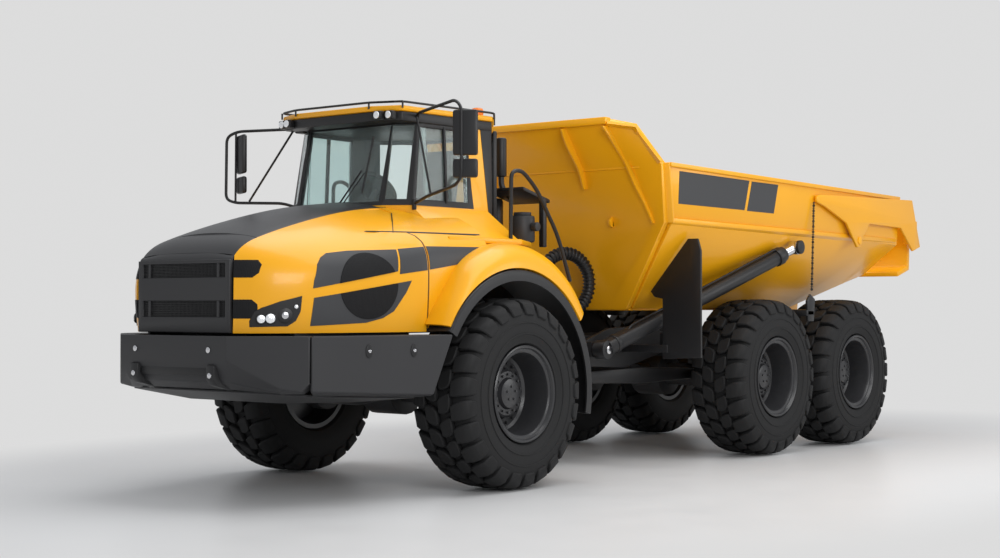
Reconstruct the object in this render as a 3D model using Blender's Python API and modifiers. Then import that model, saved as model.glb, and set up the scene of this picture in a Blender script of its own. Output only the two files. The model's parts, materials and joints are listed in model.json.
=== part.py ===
"""Articulated six-wheel dump truck, built from separate solid pieces.

Metres, +Z up. The truck faces -Y and its left-hand side is +X. Every length along the
truck is written as a distance behind the front axle; the whole truck hangs from one
empty that puts the middle of its footprint at the origin.
"""
import math

import bmesh
import bpy
from mathutils import Matrix, Vector

# ---------------------------------------------------------------- driving dimensions
FRONT_AXLE_Y = -2.755         # front axle, from the middle of the truck
AXLES = {"front": 0.0, "middle": 4.66, "rear": 6.60}
TRACK_HALF = 1.36             # middle of the truck to the middle of a tyre
TYRE_RADIUS = 0.89            # middle of the hub to the ground
TYRE_HALF_WIDTH = 0.34
WHEEL_STEPS = 24              # flats round a wheel
HITCH_Y = 1.45                # vertical steering pin
HITCH_Z = 1.05                # height of the lengthwise roll bearing
ROLL_Y = 1.95                 # face of the roll bearing
TIP_PIN = (7.00, 1.55)        # y, z of the dump body's rear pins
HOOD_PIN = (-2.70, 1.40)      # y, z of the hood's front hinge
GRILLE_PIN = (-2.66, 1.47)    # y, z of the grille's lower hinge
GATE_PIN = (6.58, 2.50)       # y, z of the tailgate's arm pins
HOIST_FOOT = Vector((0.95, 2.25, 1.24))
HOIST_EYE = Vector((1.64, 5.13, 2.38))
STEER_FOOT = Vector((0.80, 0.42, 1.22))
STEER_EYE = Vector((0.44, 1.45, 1.22))
DOOR_HINGE = (0.841, 0.619)   # x, y of the cab door's hinge line
DECK_TOP = 2.34
BUMPER_TOP = 1.455
SKIN = 0.03                   # hood panels
PLATE = 0.06                  # dump body plates
GAP = 0.0003                  # between pieces that rest on each other

SIDES = (("left", 1), ("right", -1))

PAINTS = {                    # colour, roughness, metallic
    "yellow": ((0.90, 0.50, 0.01), 0.35, 0.0),
    "charcoal": ((0.05, 0.05, 0.055), 0.50, 0.0),
    "black": ((0.012, 0.012, 0.013), 0.55, 0.0),
    "rubber": ((0.02, 0.02, 0.02), 0.85, 0.0),
    "steel": ((0.60, 0.60, 0.62), 0.25, 1.0),
    "cast_iron": ((0.07, 0.07, 0.075), 0.60, 0.5),
    "glass": ((0.55, 0.62, 0.62), 0.05, 0.0),
    "lamp": ((0.80, 0.82, 0.85), 0.10, 0.0),
    "fabric": ((0.06, 0.06, 0.07), 0.90, 0.0),
}

# ---------------------------------------------------------------- scene set-up
for old in list(bpy.data.objects):
    bpy.data.objects.remove(old, do_unlink=True)

truck_pieces = bpy.data.collections.new("articulated_dump_truck")
truck_cutters = bpy.data.collections.new("cutters")
bpy.context.scene.collection.children.link(truck_pieces)
bpy.context.scene.collection.children.link(truck_cutters)

truck = bpy.data.objects.new("truck", None)
truck.location = (0.0, FRONT_AXLE_Y, 0.0)
truck_pieces.objects.link(truck)


def paint(name):
    """The Principled material of that name, made once."""
    made = bpy.data.materials.get(name)
    if made:
        return made
    colour, roughness, metallic = PAINTS[name]
    made = bpy.data.materials.new(name)
    made.use_nodes = True
    shader = made.node_tree.nodes["Principled BSDF"]
    shader.inputs["Base Color"].default_value = (*colour, 1.0)
    shader.inputs["Roughness"].default_value = roughness
    shader.inputs["Metallic"].default_value = metallic
    return made


# ---------------------------------------------------------------- shape helpers
def block(low, high):
    """A box between two corners."""
    bm = bmesh.new()
    bmesh.ops.create_cube(bm, size=1.0)
    size = Vector(high) - Vector(low)
    middle = (Vector(high) + Vector(low)) / 2
    bmesh.ops.scale(bm, vec=size, verts=bm.verts)
    bmesh.ops.translate(bm, vec=middle, verts=bm.verts)
    return bm


def prism(outline, start, end, along):
    """A flat outline pushed from start to end along "x", "y" or "z".

    The outline holds (y, z), (x, z) or (x, y) pairs, in that order of axes.
    """
    place = {"x": lambda u, v, w: (w, u, v),
             "y": lambda u, v, w: (u, w, v),
             "z": lambda u, v, w: (u, v, w)}[along]
    bm = bmesh.new()
    face = bm.faces.new([bm.verts.new(place(u, v, start)) for u, v in outline])
    pushed = bmesh.ops.extrude_face_region(bm, geom=[face])
    far = [item for item in pushed["geom"] if isinstance(item, bmesh.types.BMVert)]
    bmesh.ops.translate(bm, vec=Vector(place(0, 0, end - start)), verts=far)
    bmesh.ops.recalc_face_normals(bm, faces=bm.faces)
    return bm


def rod(start, end, radius, sides=16):
    """A round bar between two points."""
    start, end = Vector(start), Vector(end)
    bm = bmesh.new()
    bmesh.ops.create_cone(bm, cap_ends=True, segments=sides, radius1=radius, radius2=radius,
                          depth=(end - start).length)
    turn = (end - start).to_track_quat("Z", "Y").to_matrix().to_4x4()
    bmesh.ops.transform(bm, matrix=Matrix.Translation((start + end) / 2) @ turn, verts=bm.verts)
    return bm


def turned(outline, centre, sides):
    """A closed (x, radius) outline spun about the X axis through centre."""
    bm = bmesh.new()
    half_step = math.pi / sides
    corners = []
    for x, radius in outline:
        reach = radius / math.cos(half_step)
        corners.append(bm.verts.new((x, reach * math.sin(half_step), -reach * math.cos(half_step))))
    rim = [bm.edges.new((corners[i - 1], corners[i])) for i in range(len(corners))]
    bmesh.ops.spin(bm, geom=corners + rim, cent=(0, 0, 0), axis=(1, 0, 0), angle=2 * math.pi,
                   steps=sides, use_merge=True)
    bmesh.ops.remove_doubles(bm, verts=bm.verts, dist=0.0001)
    bmesh.ops.recalc_face_normals(bm, faces=bm.faces)
    bmesh.ops.translate(bm, vec=Vector(centre), verts=bm.verts)
    return bm


def sheet(rows):
    """An open surface through rows of points, all rows equally long."""
    bm = bmesh.new()
    grid = [[bm.verts.new(point) for point in row] for row in rows]
    for upper, lower in zip(grid, grid[1:]):
        for i in range(len(upper) - 1):
            bm.faces.new((upper[i], upper[i + 1], lower[i + 1], lower[i]))
    return bm


def stack(rings):
    """A solid lofted through closed rings of equally many points, capped at both ends."""
    bm = bmesh.new()
    loops = [[bm.verts.new(point) for point in ring] for ring in rings]
    for lower, upper in zip(loops, loops[1:]):
        for i in range(len(lower)):
            bm.faces.new((lower[i - 1], lower[i], upper[i], upper[i - 1]))
    bm.faces.new(loops[0])
    bm.faces.new(loops[-1])
    bmesh.ops.triangulate(bm, faces=bm.faces)
    bmesh.ops.recalc_face_normals(bm, faces=bm.faces)
    return bm


def mirrored(bm, side):
    """The same shape, or its mirror image for side -1."""
    if side < 0:
        bmesh.ops.scale(bm, vec=(-1, 1, 1), verts=bm.verts)
        bmesh.ops.reverse_faces(bm, faces=bm.faces)
    return bm


def place(name, bm, pivot, collection):
    """An object for the shape, with its own origin at pivot, hung from the truck."""
    bmesh.ops.translate(bm, vec=-Vector(pivot), verts=bm.verts)
    mesh = bpy.data.meshes.new(name)
    bm.to_mesh(mesh)
    bm.free()
    obj = bpy.data.objects.new(name, mesh)
    obj.location = pivot
    obj.parent = truck
    collection.objects.link(obj)
    return obj


def piece(name, colour, shapes, pivot=(0, 0, 0), cuts=(), thickness=None, side=1):
    """One named solid: the shapes joined, the cuts taken out, or a sheet thickened."""
    pivot = Vector((pivot[0] * side, pivot[1], pivot[2]))
    obj = place(name, mirrored(shapes[0], side), pivot, truck_pieces)
    obj.data.materials.append(paint(colour))
    if thickness:
        wall = obj.modifiers.new("wall", "SOLIDIFY")
        wall.thickness = thickness
        wall.offset = 0.0
        wall.use_even_offset = True
    tools = [(shape, "UNION") for shape in shapes[1:]] + [(cut, "DIFFERENCE") for cut in cuts]
    for number, (shape, work) in enumerate(tools):
        cutter = place(f"{name}_tool_{number}", mirrored(shape, side), pivot, truck_cutters)
        cutter.hide_render = True
        cutter.display_type = "WIRE"
        join = obj.modifiers.new(f"tool_{number}", "BOOLEAN")
        join.operation = work
        join.object = cutter
        join.solver = "EXACT"
    return obj


def arc(centre, radius, start, end, steps):
    """Points round an arc, angles in degrees from the first axis."""
    points = []
    for i in range(steps + 1):
        angle = math.radians(start + (end - start) * i / steps)
        points.append((centre[0] + radius * math.cos(angle), centre[1] + radius * math.sin(angle)))
    return points


# ---------------------------------------------------------------- wheels and axles
TYRE_OUTLINE = (              # distance from the tyre's middle, radius
    (-0.28, 0.44), (-0.34, 0.55), (-0.33, 0.78), (-0.28, 0.87), (0.0, 0.89),
    (0.28, 0.87), (0.33, 0.78), (0.34, 0.55), (0.28, 0.44))
RIM_OUTLINE = (               # distance from the tyre's middle (+ outwards), radius
    (-0.30, 0.38), (-0.30, 0.43), (-0.26, 0.4397), (0.26, 0.4397), (0.30, 0.43), (0.30, 0.39),
    (0.05, 0.35), (0.05, 0.24), (0.22, 0.20), (0.22, 0.03), (-0.02, 0.03), (-0.02, 0.35))


def wheels():
    for axle, y in AXLES.items():
        for name, side in SIDES:
            hub = (TRACK_HALF, y, TYRE_RADIUS)
            piece(f"tyre_{axle}_{name}", "rubber", [turned(TYRE_OUTLINE, hub, WHEEL_STEPS)],
                  pivot=hub, side=side)
            piece(f"rim_{axle}_{name}", "cast_iron", [turned(RIM_OUTLINE, hub, WHEEL_STEPS)],
                  pivot=hub, side=side)


def axle_case(name, y, cover):
    """An axle beam with its round final drive; cover is the side (-1 front) it bulges to."""
    beam = rod((-1.02, y, TYRE_RADIUS), (1.02, y, TYRE_RADIUS), 0.13)
    drive = rod((-0.20, y, TYRE_RADIUS), (0.20, y, TYRE_RADIUS), 0.25, 20)
    drums = [rod((s * 0.88, y, TYRE_RADIUS), (s * 1.03, y, TYRE_RADIUS), 0.24, 20) for s in (-1, 1)]
    nose = rod((0, y, TYRE_RADIUS), (0, y + cover * 0.42, TYRE_RADIUS), 0.13)
    piece(name, "charcoal", [beam, drive, *drums, nose], pivot=(0, y, TYRE_RADIUS))


# ---------------------------------------------------------------- front frame
RAIL_BOTTOM = 1.16
RAIL_TOP = 1.38
RAIL_X = 0.46                 # middle of each lengthwise rail
EAR_LEVELS = ((0.80, 0.88), (1.22, 1.30))


def front_frame():
    rails = [block((s * RAIL_X - 0.06, -2.30, RAIL_BOTTOM), (s * RAIL_X + 0.06, 1.00, RAIL_TOP))
             for s in (-1, 1)]
    crosses = [block((-0.50, y, 1.18), (0.50, y + 0.16, 1.36)) for y in (-2.28, -0.60)]
    head = block((-0.50, 0.80, 0.80), (0.50, 1.02, 1.36))
    ears = []
    for low, high in EAR_LEVELS:
        tip = arc((0, HITCH_Y), 0.16, 0, 180, 8)
        ears.append(prism([(0.30, 1.00), *tip, (-0.30, 1.00)], low, high, "z"))
    shelf = block((-0.44, -2.52, 1.24), (0.44, -2.26, 1.34))
    piece("front_chassis", "black", [rails[0], crosses[0], rails[1], crosses[1], head, *ears, shelf])
    piece("engine_block", "cast_iron", [block((-0.36, -2.20, 1.40), (0.36, -0.95, 2.00))])
    axle_case("front_axle", AXLES["front"], 1)
    skid = [(-2.50, 1.00), (-2.40, 0.94), (-1.10, 0.80), (-0.72, 0.84), (-0.72, 0.88),
            (-1.10, 0.85), (-2.38, 0.99), (-2.47, 1.05)]
    post = block((-0.30, -2.20, 0.93), (0.30, -2.12, RAIL_BOTTOM - GAP))
    piece("skid_plate", "charcoal", [prism(skid, -0.62, 0.62, "x"), post])


BUMPER_NOSE = ((1.25, -2.34), (0.69, -2.78))        # x, y of its outer corners
BUMPER_BACK = ((0.66, -2.60), (1.14, -2.26))        # the same on the inside
BUMPER_ENDS = (                # z, then x and y of the outer end and x of the inner one
    (0.93, 1.567, -1.15, 1.487),
    (BUMPER_TOP, 1.62, -0.95, 1.54),
)


def bumper():
    """A band round the nose, and deeper panels that spread out to the wheel arches."""
    outline = [*BUMPER_NOSE, *((-x, y) for x, y in reversed(BUMPER_NOSE))]
    outline += [*((-x, y) for x, y in reversed(BUMPER_BACK)), *BUMPER_BACK]
    band = prism(outline, 1.06, BUMPER_TOP, "z")
    panels = []
    for side in (-1, 1):
        rings = []
        for z, outer_x, end_y, inner_x in BUMPER_ENDS:
            ring_points = [BUMPER_NOSE[0], (outer_x, end_y), (inner_x, end_y), BUMPER_BACK[1]]
            rings.append([(x, y, z) for x, y in ring_points])
        panels.append(mirrored(stack(rings), side))
    under_nose = block((-0.60, -2.90, 1.00), (0.60, -2.64, 1.18))
    piece("front_bumper", "charcoal", [band, *panels], cuts=[under_nose])


# ---------------------------------------------------------------- hood and grille
# Four lines run back along the hood's side: foot, waist, shoulder, and the edge of the
# black top at x = 0.60. Each row is one station: (x, y) of the foot, (x, y, z) of the
# waist, (x, y, z) of the shoulder, (y, z) of the top's edge and the crown above that.
HOOD_STATIONS = (
    ((0.64, -2.620), (0.64, -2.645, 1.80), (0.635, -2.63, 2.00), (-2.60, 2.135), 2.165),
    ((0.77, -2.530), (0.78, -2.560, 1.85), (0.745, -2.51, 2.07), (-2.53, 2.200), 2.240),
    ((0.90, -2.390), (0.92, -2.410, 1.87), (0.870, -2.36, 2.11), (-2.43, 2.260), 2.300),
    ((1.01, -2.210), (1.03, -2.230, 1.88), (0.960, -2.20, 2.15), (-2.31, 2.300), 2.350),
    ((1.10, -1.960), (1.13, -1.980, 1.90), (1.050, -1.96, 2.20), (-2.05, 2.385), 2.440),
    ((1.19, -1.600), (1.22, -1.620, 1.92), (1.140, -1.62, 2.28), (-1.70, 2.475), 2.530),
    ((1.26, -1.280), (1.29, -1.300, 1.95), (1.210, -1.30, 2.34), (-1.34, 2.555), 2.610),
    ((1.32, -0.970), (1.36, -0.970, 1.97), (1.250, -1.00, 2.37), (-0.82, 2.610), 2.670),
)
LAMP_PLAN = (                 # x, y round one headlight
    (0.76, -2.46), (0.865, -2.33), (0.95, -2.17), (0.86, -2.12), (0.78, -2.26), (0.68, -2.37))
GRILLE_SLOTS = ((1.61, 1.75), (1.95, 2.07))         # low and high z of its two openings
HOOD_FOOT_Z = 1.50
HOOD_TOP_EDGE = 0.60


def hood():
    pin = (0, *HOOD_PIN)
    for name, side in SIDES:
        rows = []
        for foot, waist, shoulder, edge, _ in HOOD_STATIONS:
            brow = (HOOD_TOP_EDGE + 0.02, edge[0], edge[1])
            rows.append([(*foot, HOOD_FOOT_Z), waist, shoulder, brow])
        piece(f"hood_side_{name}", "yellow", [sheet(rows)], pivot=pin, thickness=SKIN, side=side)
        piece(f"headlight_{name}", "lamp", [prism(LAMP_PLAN, 1.55, 1.74, "z")], pivot=pin, side=side)
    rows = []
    for _, _, _, edge, crown in HOOD_STATIONS:
        x = HOOD_TOP_EDGE
        rows.append([(-x, *edge), (-x / 2, edge[0], crown - 0.01), (0, edge[0], crown),
                     (x / 2, edge[0], crown - 0.01), (x, *edge)])
    piece("hood_top", "charcoal", [sheet(rows)], pivot=pin, thickness=SKIN)
    panel = block((-0.60, -2.655, 1.475), (0.60, -2.60, 2.10))
    mesh_slots = [block((-0.54, -2.70, low), (0.54, -2.63, high)) for low, high in GRILLE_SLOTS]
    piece("grille", "charcoal", [panel], pivot=(0, *GRILLE_PIN), cuts=mesh_slots)


# ---------------------------------------------------------------- fenders and deck
ARCH_OUTER = 1.16             # the black flare's radii about the hub
ARCH_INNER = 1.06
WING_RADIUS = 1.40            # the yellow wing above the flare
WING_SIDES = (1.36, 1.56)     # x where the wing starts and ends
DECK_PLAN = ((1.30, -0.70), (1.30, 0.45), (0.92, 1.06))


def fenders_and_deck():
    centre = (0.0, TYRE_RADIUS)
    band = arc(centre, ARCH_OUTER, 143, -12, 16) + arc(centre, ARCH_INNER, -12, 143, 16)
    for name, side in SIDES:
        piece(f"fender_{name}", "black", [prism(band, 1.03, 1.62, "x")], side=side)
    plan = [*DECK_PLAN, *((-x, y) for x, y in reversed(DECK_PLAN))]
    floor = prism(plan, 2.28, DECK_TOP, "z")
    shell = []
    for side in (-1, 1):
        cheek = [(-0.94, 1.64), (-0.94, 2.33), (0.44, 2.33), (0.62, 2.16), (1.16, 1.64)]
        cheek += arc(centre, ARCH_OUTER + 0.01, 38, 138, 10)
        shell.append(prism(cheek, side * 1.28, side * 1.36, "x"))
        wing = arc(centre, WING_RADIUS, 133, 34, 12) + arc(centre, ARCH_OUTER + 0.01, 34, 142, 12)
        low, high = sorted(side * x for x in (WING_SIDES[0] - 0.02, WING_SIDES[1]))
        shell.append(prism(wing, low, high, "x"))
    back = block((-0.90, 1.00, 1.62), (0.90, 1.05, 2.30))
    piece("cab_deck", "yellow", [floor, *shell, back])


# ---------------------------------------------------------------- cab
# Rings of the cab's wall from the deck up: height, then x, y of the windscreen's edge,
# the front pillar, the rear pillar's foot, the rear pillar and the back corner.
CAB_RINGS = (
    (DECK_TOP + GAP, (0.60, -0.69), (1.20, -0.62), (1.22, 0.48), (0.82, 0.56), (0.48, 0.94)),
    (2.63, (0.56, -0.76), (0.80, -0.58), (0.82, 0.50), (0.82, 0.56), (0.48, 0.94)),
    (3.47, (0.575, -0.57), (0.755, -0.45), (0.81, 0.50), (0.81, 0.555), (0.475, 0.93)),
)
CAB_WALL = 0.05
PILLAR = Vector((0.82, 0.56, 0))
CORNER = Vector((0.48, 0.94, 0))
ALONG_DOOR = (CORNER - PILLAR).normalized()
OUT_OF_DOOR = Vector((ALONG_DOOR.y, -ALONG_DOOR.x, 0))


def ring(row, inset):
    """A cab ring as points all the way round, drawn in by inset."""
    height, *corners = row
    half = []
    for (x, y), pull in zip(corners, ((0.4, 1), (1.2, 0.9), (1.1, 0.2), (1.2, -0.3), (0.4, -1))):
        half.append((x - inset * pull[0], y + inset * pull[1], height))
    return half + [(-x, y, z) for x, y, z in reversed(half)]


def door_slab(start, end, near, far, low, high):
    """A slab on the slanted back corner, from start to end along it and near to far out."""
    outline = []
    for along, out in ((start, near), (end, near), (end, far), (start, far)):
        spot = PILLAR + ALONG_DOOR * along + OUT_OF_DOOR * out
        outline.append((spot.x, spot.y))
    return prism(outline, low, high, "z")


def cab():
    outside = stack([ring(row, 0.0) for row in CAB_RINGS])
    inner_rows = [(CAB_RINGS[0][0] - 0.05, *CAB_RINGS[0][1:]), CAB_RINGS[1],
                  (CAB_RINGS[2][0] + 0.05, *CAB_RINGS[2][1:])]
    cuts = [stack([ring(row, CAB_WALL) for row in inner_rows]),
            block((-0.50, -0.95, 2.70), (0.50, -0.45, 3.39)),
            block((-0.36, 0.80, 2.70), (0.36, 1.10, 3.39))]
    for side in (-1, 1):
        cuts.append(mirrored(block((0.60, -0.40, 2.70), (1.10, 0.21, 3.39)), side))
        low = 2.42 if side > 0 else 2.70
        cuts.append(mirrored(door_slab(0.09, 0.43, -0.20, 0.20, low, 3.39), side))
    piece("cab_frame", "yellow", [outside], cuts=cuts)
    roof = [(0.485, -0.84), (0.80, -0.72), (0.84, 0.56), (0.50, 0.98)]
    roof += [(-x, y) for x, y in reversed(roof)]
    piece("cab_roof", "yellow", [prism(roof, 3.47 + GAP, 3.57, "z")])
    piece("windscreen", "glass", [sheet([[(-0.495, -0.713, 2.705), (0.495, -0.713, 2.705)],
                                         [(-0.495, -0.559, 3.385), (0.495, -0.559, 3.385)]])],
          thickness=0.012)
    for name, side in SIDES:
        pane = [[(0.783, -0.395, 2.705), (0.797, 0.205, 2.705)],
                [(0.740, -0.395, 3.385), (0.775, 0.205, 3.385)]]
        piece(f"side_window_{name}", "glass", [sheet(pane)], thickness=0.012, side=side)
    piece("rear_window", "glass", [block((-0.355, 0.90, 2.705), (0.355, 0.912, 3.385))])
    frame = door_slab(0.04, 0.46, 0.008, 0.05, 2.44, 3.43)
    piece("cab_door", "black", [frame], pivot=(*DOOR_HINGE, DECK_TOP),
          cuts=[door_slab(0.10, 0.40, -0.1, 0.2, 2.62, 3.37)])


def cab_inside():
    base = block((-0.20, 0.22, DECK_TOP + GAP), (0.20, 0.58, 2.52))
    cushion = block((-0.27, 0.10, 2.50), (0.27, 0.62, 2.66))
    back = prism([(0.54, 2.60), (0.66, 2.60), (0.76, 3.26), (0.66, 3.28)], -0.25, 0.25, "x")
    piece("driver_seat", "fabric", [cushion, base, back])
    dash = prism([(-0.55, DECK_TOP + GAP), (-0.36, DECK_TOP + GAP), (-0.34, 2.60),
                  (-0.42, 2.72), (-0.58, 2.70)], -0.46, 0.46, "x")
    column = rod((0, -0.40, 2.62), (0, -0.20, 2.84), 0.035, 12)
    disc = rod((0, -0.215, 2.825), (0, -0.195, 2.845), 0.20, 20)
    piece("dashboard", "charcoal", [dash, column, disc])


MIRROR_TUBE = 0.016
MIRROR_TOP = ((0.80, -0.50, 3.42), (1.56, -0.80, 3.48))       # the upper arm's two ends
MIRROR_LOW = ((0.86, -0.60, 2.68), (1.56, -0.80, 2.80))
MIRROR_HEADS = ((3.06, 3.46), (2.85, 3.02))                   # low and high z
MIRROR_SPAN = {"left": (1.49, 1.71), "right": (1.20, 1.44)}   # x from the middle


def mirrors():
    """Tubes from the front pillar carry a tall mirror with a wide-angle one below it."""
    for name, side in SIDES:
        top_out, low_out = MIRROR_TOP[1], MIRROR_LOW[1]
        shapes = [rod(*MIRROR_TOP, MIRROR_TUBE, 8)]
        for point in (top_out, low_out):
            shapes.append(block(Vector(point) - Vector((0.025, 0.025, 0.025)),
                                Vector(point) + Vector((0.025, 0.025, 0.025))))
        shapes += [rod(top_out, low_out, MIRROR_TUBE, 8), rod(*MIRROR_LOW, MIRROR_TUBE, 8)]
        near, far = MIRROR_SPAN[name]
        if far < low_out[0] - MIRROR_TUBE:
            shapes.append(rod((1.43, -0.764, 3.47), (1.43, -0.763, 2.778), MIRROR_TUBE, 8))
        for low, high in MIRROR_HEADS:
            shapes.append(block((near, -0.83, low), (far, -0.77, high)))
        piece(f"mirror_{name}", "black", shapes, side=side)


# ---------------------------------------------------------------- hitch and steering rams
def hitch():
    knuckle = rod((0, HITCH_Y, 0.89), (0, HITCH_Y, 1.21), 0.15, 20)
    neck = block((-0.12, HITCH_Y, 0.94), (0.12, 1.80, 1.16))
    flange = rod((0, 1.78, HITCH_Z), (0, ROLL_Y - 0.006, HITCH_Z), 0.20, 20)
    arms = block((-0.46, HITCH_Y - 0.07, 1.05), (0.46, HITCH_Y + 0.07, 1.15))
    piece("hitch_yoke", "charcoal", [knuckle, neck, flange, arms], pivot=(0, HITCH_Y, HITCH_Z))
    for name, side in SIDES:
        line = (STEER_EYE - STEER_FOOT).normalized()
        mouth = STEER_FOOT + line * 0.72
        barrel = rod(STEER_FOOT, mouth, 0.055, 16)
        bore = rod(STEER_FOOT + line * 0.08, mouth + line * 0.1, 0.034, 16)
        foot = block(STEER_FOOT - Vector((0.28 - GAP, 0.05, 0.04)), STEER_FOOT + Vector((0.03, 0.05, 0.04)))
        piece(f"steering_barrel_{name}", "black", [barrel, foot], pivot=STEER_FOOT, cuts=[bore], side=side)
        bar = rod(STEER_FOOT + line * 0.37, STEER_EYE, 0.028, 12)
        eye = rod(STEER_EYE - Vector((0, 0, 0.04)), STEER_EYE + Vector((0, 0, 0.04)), 0.055, 16)
        piece(f"steering_rod_{name}", "steel", [bar, eye], pivot=STEER_EYE, side=side)


# ---------------------------------------------------------------- rear frame
GUARD_Y = 2.97
GUARD = (                     # x, z round the plate between the body and the middle wheel
    (1.235, 1.13), (1.72, 1.15), (1.72, 2.29), (1.68, 2.42), (1.56, 2.42), (1.08, 1.86), (1.13, 1.80),
    (1.235, 1.78))


def rear_frame():
    ring_face = rod((0, ROLL_Y, HITCH_Z), (0, 2.14, HITCH_Z), 0.22, 20)
    throat = block((-0.30, 2.10, 0.92), (0.30, 2.60, 1.30))
    rails = [block((s * 0.38 - 0.08, 2.40, 1.12), (s * 0.38 + 0.08, 7.12, 1.38)) for s in (-1, 1)]
    plates = [block((s * 0.38 - 0.06, 2.42, 0.90), (s * 0.38 + 0.06, 3.50, 1.20)) for s in (-1, 1)]
    hoist_beam = block((-0.86, 2.17, 1.16), (0.86, 2.33, 1.32))
    crosses = [block((-0.40, y, 1.14), (0.40, y + 0.20, 1.36)) for y in (3.40, 5.50, 6.86)]
    ears = []
    for side in (-1, 1):
        outline = [(6.80, 1.30), (7.12, 1.30)] + arc(TIP_PIN, 0.10, 0, 180, 8)
        ears.append(prism(outline, side * 0.34, side * 0.44, "x"))
    shapes = [throat, ring_face, hoist_beam, *rails, *plates, *crosses, *ears]
    piece("rear_chassis", "black", shapes)
    axle_case("middle_axle", AXLES["middle"], -1)
    axle_case("rear_axle", AXLES["rear"], -1)
    for name, side in SIDES:
        beam = [(4.50, 1.025), (6.76, 1.025), (6.76, 1.10), (5.90, 1.30), (5.36, 1.30), (4.50, 1.10)]
        piece(f"bogie_beam_{name}", "black", [prism(beam, 0.56, 0.70, "x")], side=side)
        stay = block((0.46 + GAP, GUARD_Y - 0.025, 1.20), (1.30, GUARD_Y + 0.025, 1.28))
        piece(f"rear_guard_{name}", "black", [prism(GUARD, GUARD_Y - 0.015, GUARD_Y + 0.015, "y"), stay],
              side=side)


# ---------------------------------------------------------------- dump body and tailgate
# Stations along the body: y and z of the floor's edge with its x, then y, x, z of the
# sill under the side band and y, x, z of the band's top edge.
BODY_STATIONS = (
    ((2.90, 0.86, 1.69), (2.52, 1.61, 2.57), (2.40, 1.66, 3.18)),
    ((6.28, 0.86, 1.69), (6.20, 1.62, 2.55), (6.20, 1.66, 3.13)),
    ((7.37, 1.05, 2.00), (7.30, 1.62, 2.52), (7.30, 1.66, 3.11)),
    ((7.85, 1.12, 2.13), (7.77, 1.62, 2.50), (7.80, 1.66, 3.09)),
)
FRONT_ROWS = (                # z, y and half width of the flat middle, then z, y, x of the corner
    (1.68, 2.86, 0.60, 1.68, 2.85, 0.86),
    (2.58, 2.55, 1.40, 2.58, 2.47, 1.60),
    (3.16, 2.38, 1.25, 3.18, 2.35, 1.64),
    (3.63, 2.02, 1.17, 3.58, 2.20, 1.40),
)


def dump_body():
    pin = (0, *TIP_PIN)
    for name, side in SIDES:
        rows = [[(x, y, z) for y, x, z in station] for station in BODY_STATIONS]
        piece(f"body_side_{name}", "yellow", [sheet(rows)], pivot=pin, thickness=PLATE, side=side)
    floor = []
    for (y, x, z), _, _ in BODY_STATIONS:
        edge = x - 0.032
        floor.append([(-edge, y, z), (edge, y, z)])
    lugs = []
    for side in (-1, 1):
        outline = [(6.84, 1.852), (7.16, 1.942)] + arc(TIP_PIN, 0.10, 0, -180, 8)
        lugs.append(prism(outline, side * 0.46, side * 0.56, "x"))
    piece("body_floor", "yellow", [sheet(floor), *lugs], pivot=pin, thickness=PLATE)
    rows = [[(-x, far, high), (-half, y, z), (half, y, z), (x, far, high)]
            for z, y, half, high, far, x in FRONT_ROWS]
    piece("body_front", "yellow", [sheet(rows)], pivot=pin, thickness=PLATE)


GATE_SHEET = (                # y, z round the gate's bent sheet: outside, then inside
    (8.02, 3.07), (8.26, 2.46), (8.24, 2.17), (7.91, 2.08), (7.91, 2.14), (8.18, 2.22), (8.20, 2.44),
    (7.96, 3.05))
GATE_ARM = (                  # y, z round the arm that runs forward to the chain
    (5.50, 3.00), (5.60, 3.02), (8.06, 3.07), (8.29, 2.47), (8.08, 2.41), (7.73, 2.70), (6.85, 2.72),
    (6.67, 2.55), (6.60, 2.42), (6.52, 2.42), (6.24, 2.71), (5.72, 2.88), (5.50, 2.93))


def tailgate():
    arms = [prism(GATE_ARM, side * 1.70, side * 1.735, "x") for side in (-1, 1)]
    ties = []
    for side in (-1, 1):
        low, high = sorted((side * 1.58, side * 1.735))
        ties.append(block((low, 8.10, 2.50), (high, 8.20, 2.80)))
    piece("tailgate", "yellow", [prism(GATE_SHEET, -1.60, 1.60, "x"), *ties, *arms], pivot=(0, *GATE_PIN))


def hoist():
    line = (HOIST_EYE - HOIST_FOOT).normalized()
    reach = (HOIST_EYE - HOIST_FOOT).length
    for name, side in SIDES:
        mouth = HOIST_FOOT + line * (reach - 0.22)
        barrel = rod(HOIST_FOOT + line * 0.06, mouth, 0.09, 20)
        bore = rod(HOIST_FOOT + line * 0.20, mouth + line * 0.1, 0.062, 20)
        foot = rod(HOIST_FOOT - Vector((0.07, 0, 0)), HOIST_FOOT + Vector((0.07, 0, 0)), 0.10, 16)
        piece(f"hoist_barrel_{name}", "black", [barrel, foot], pivot=HOIST_FOOT, cuts=[bore], side=side)
        bar = rod(HOIST_FOOT + line * 0.30, HOIST_EYE, 0.055, 16)
        eye = rod(HOIST_EYE - Vector((0.05, 0, 0)), HOIST_EYE + Vector((0.05, 0, 0)), 0.08, 16)
        piece(f"hoist_rod_{name}", "steel", [bar, eye], pivot=HOIST_EYE, side=side)


wheels()
front_frame()
bumper()
hood()
fenders_and_deck()
cab()
cab_inside()
mirrors()
hitch()
rear_frame()
dump_body()
tailgate()
hoist()
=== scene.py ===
# %% [markdown]
# An articulated dump truck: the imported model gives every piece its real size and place,
# and this lesson gives the pieces their surfaces. The first cell loads that model.

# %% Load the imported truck
import json
import math

import bpy
from mathutils import Matrix, Vector


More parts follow.
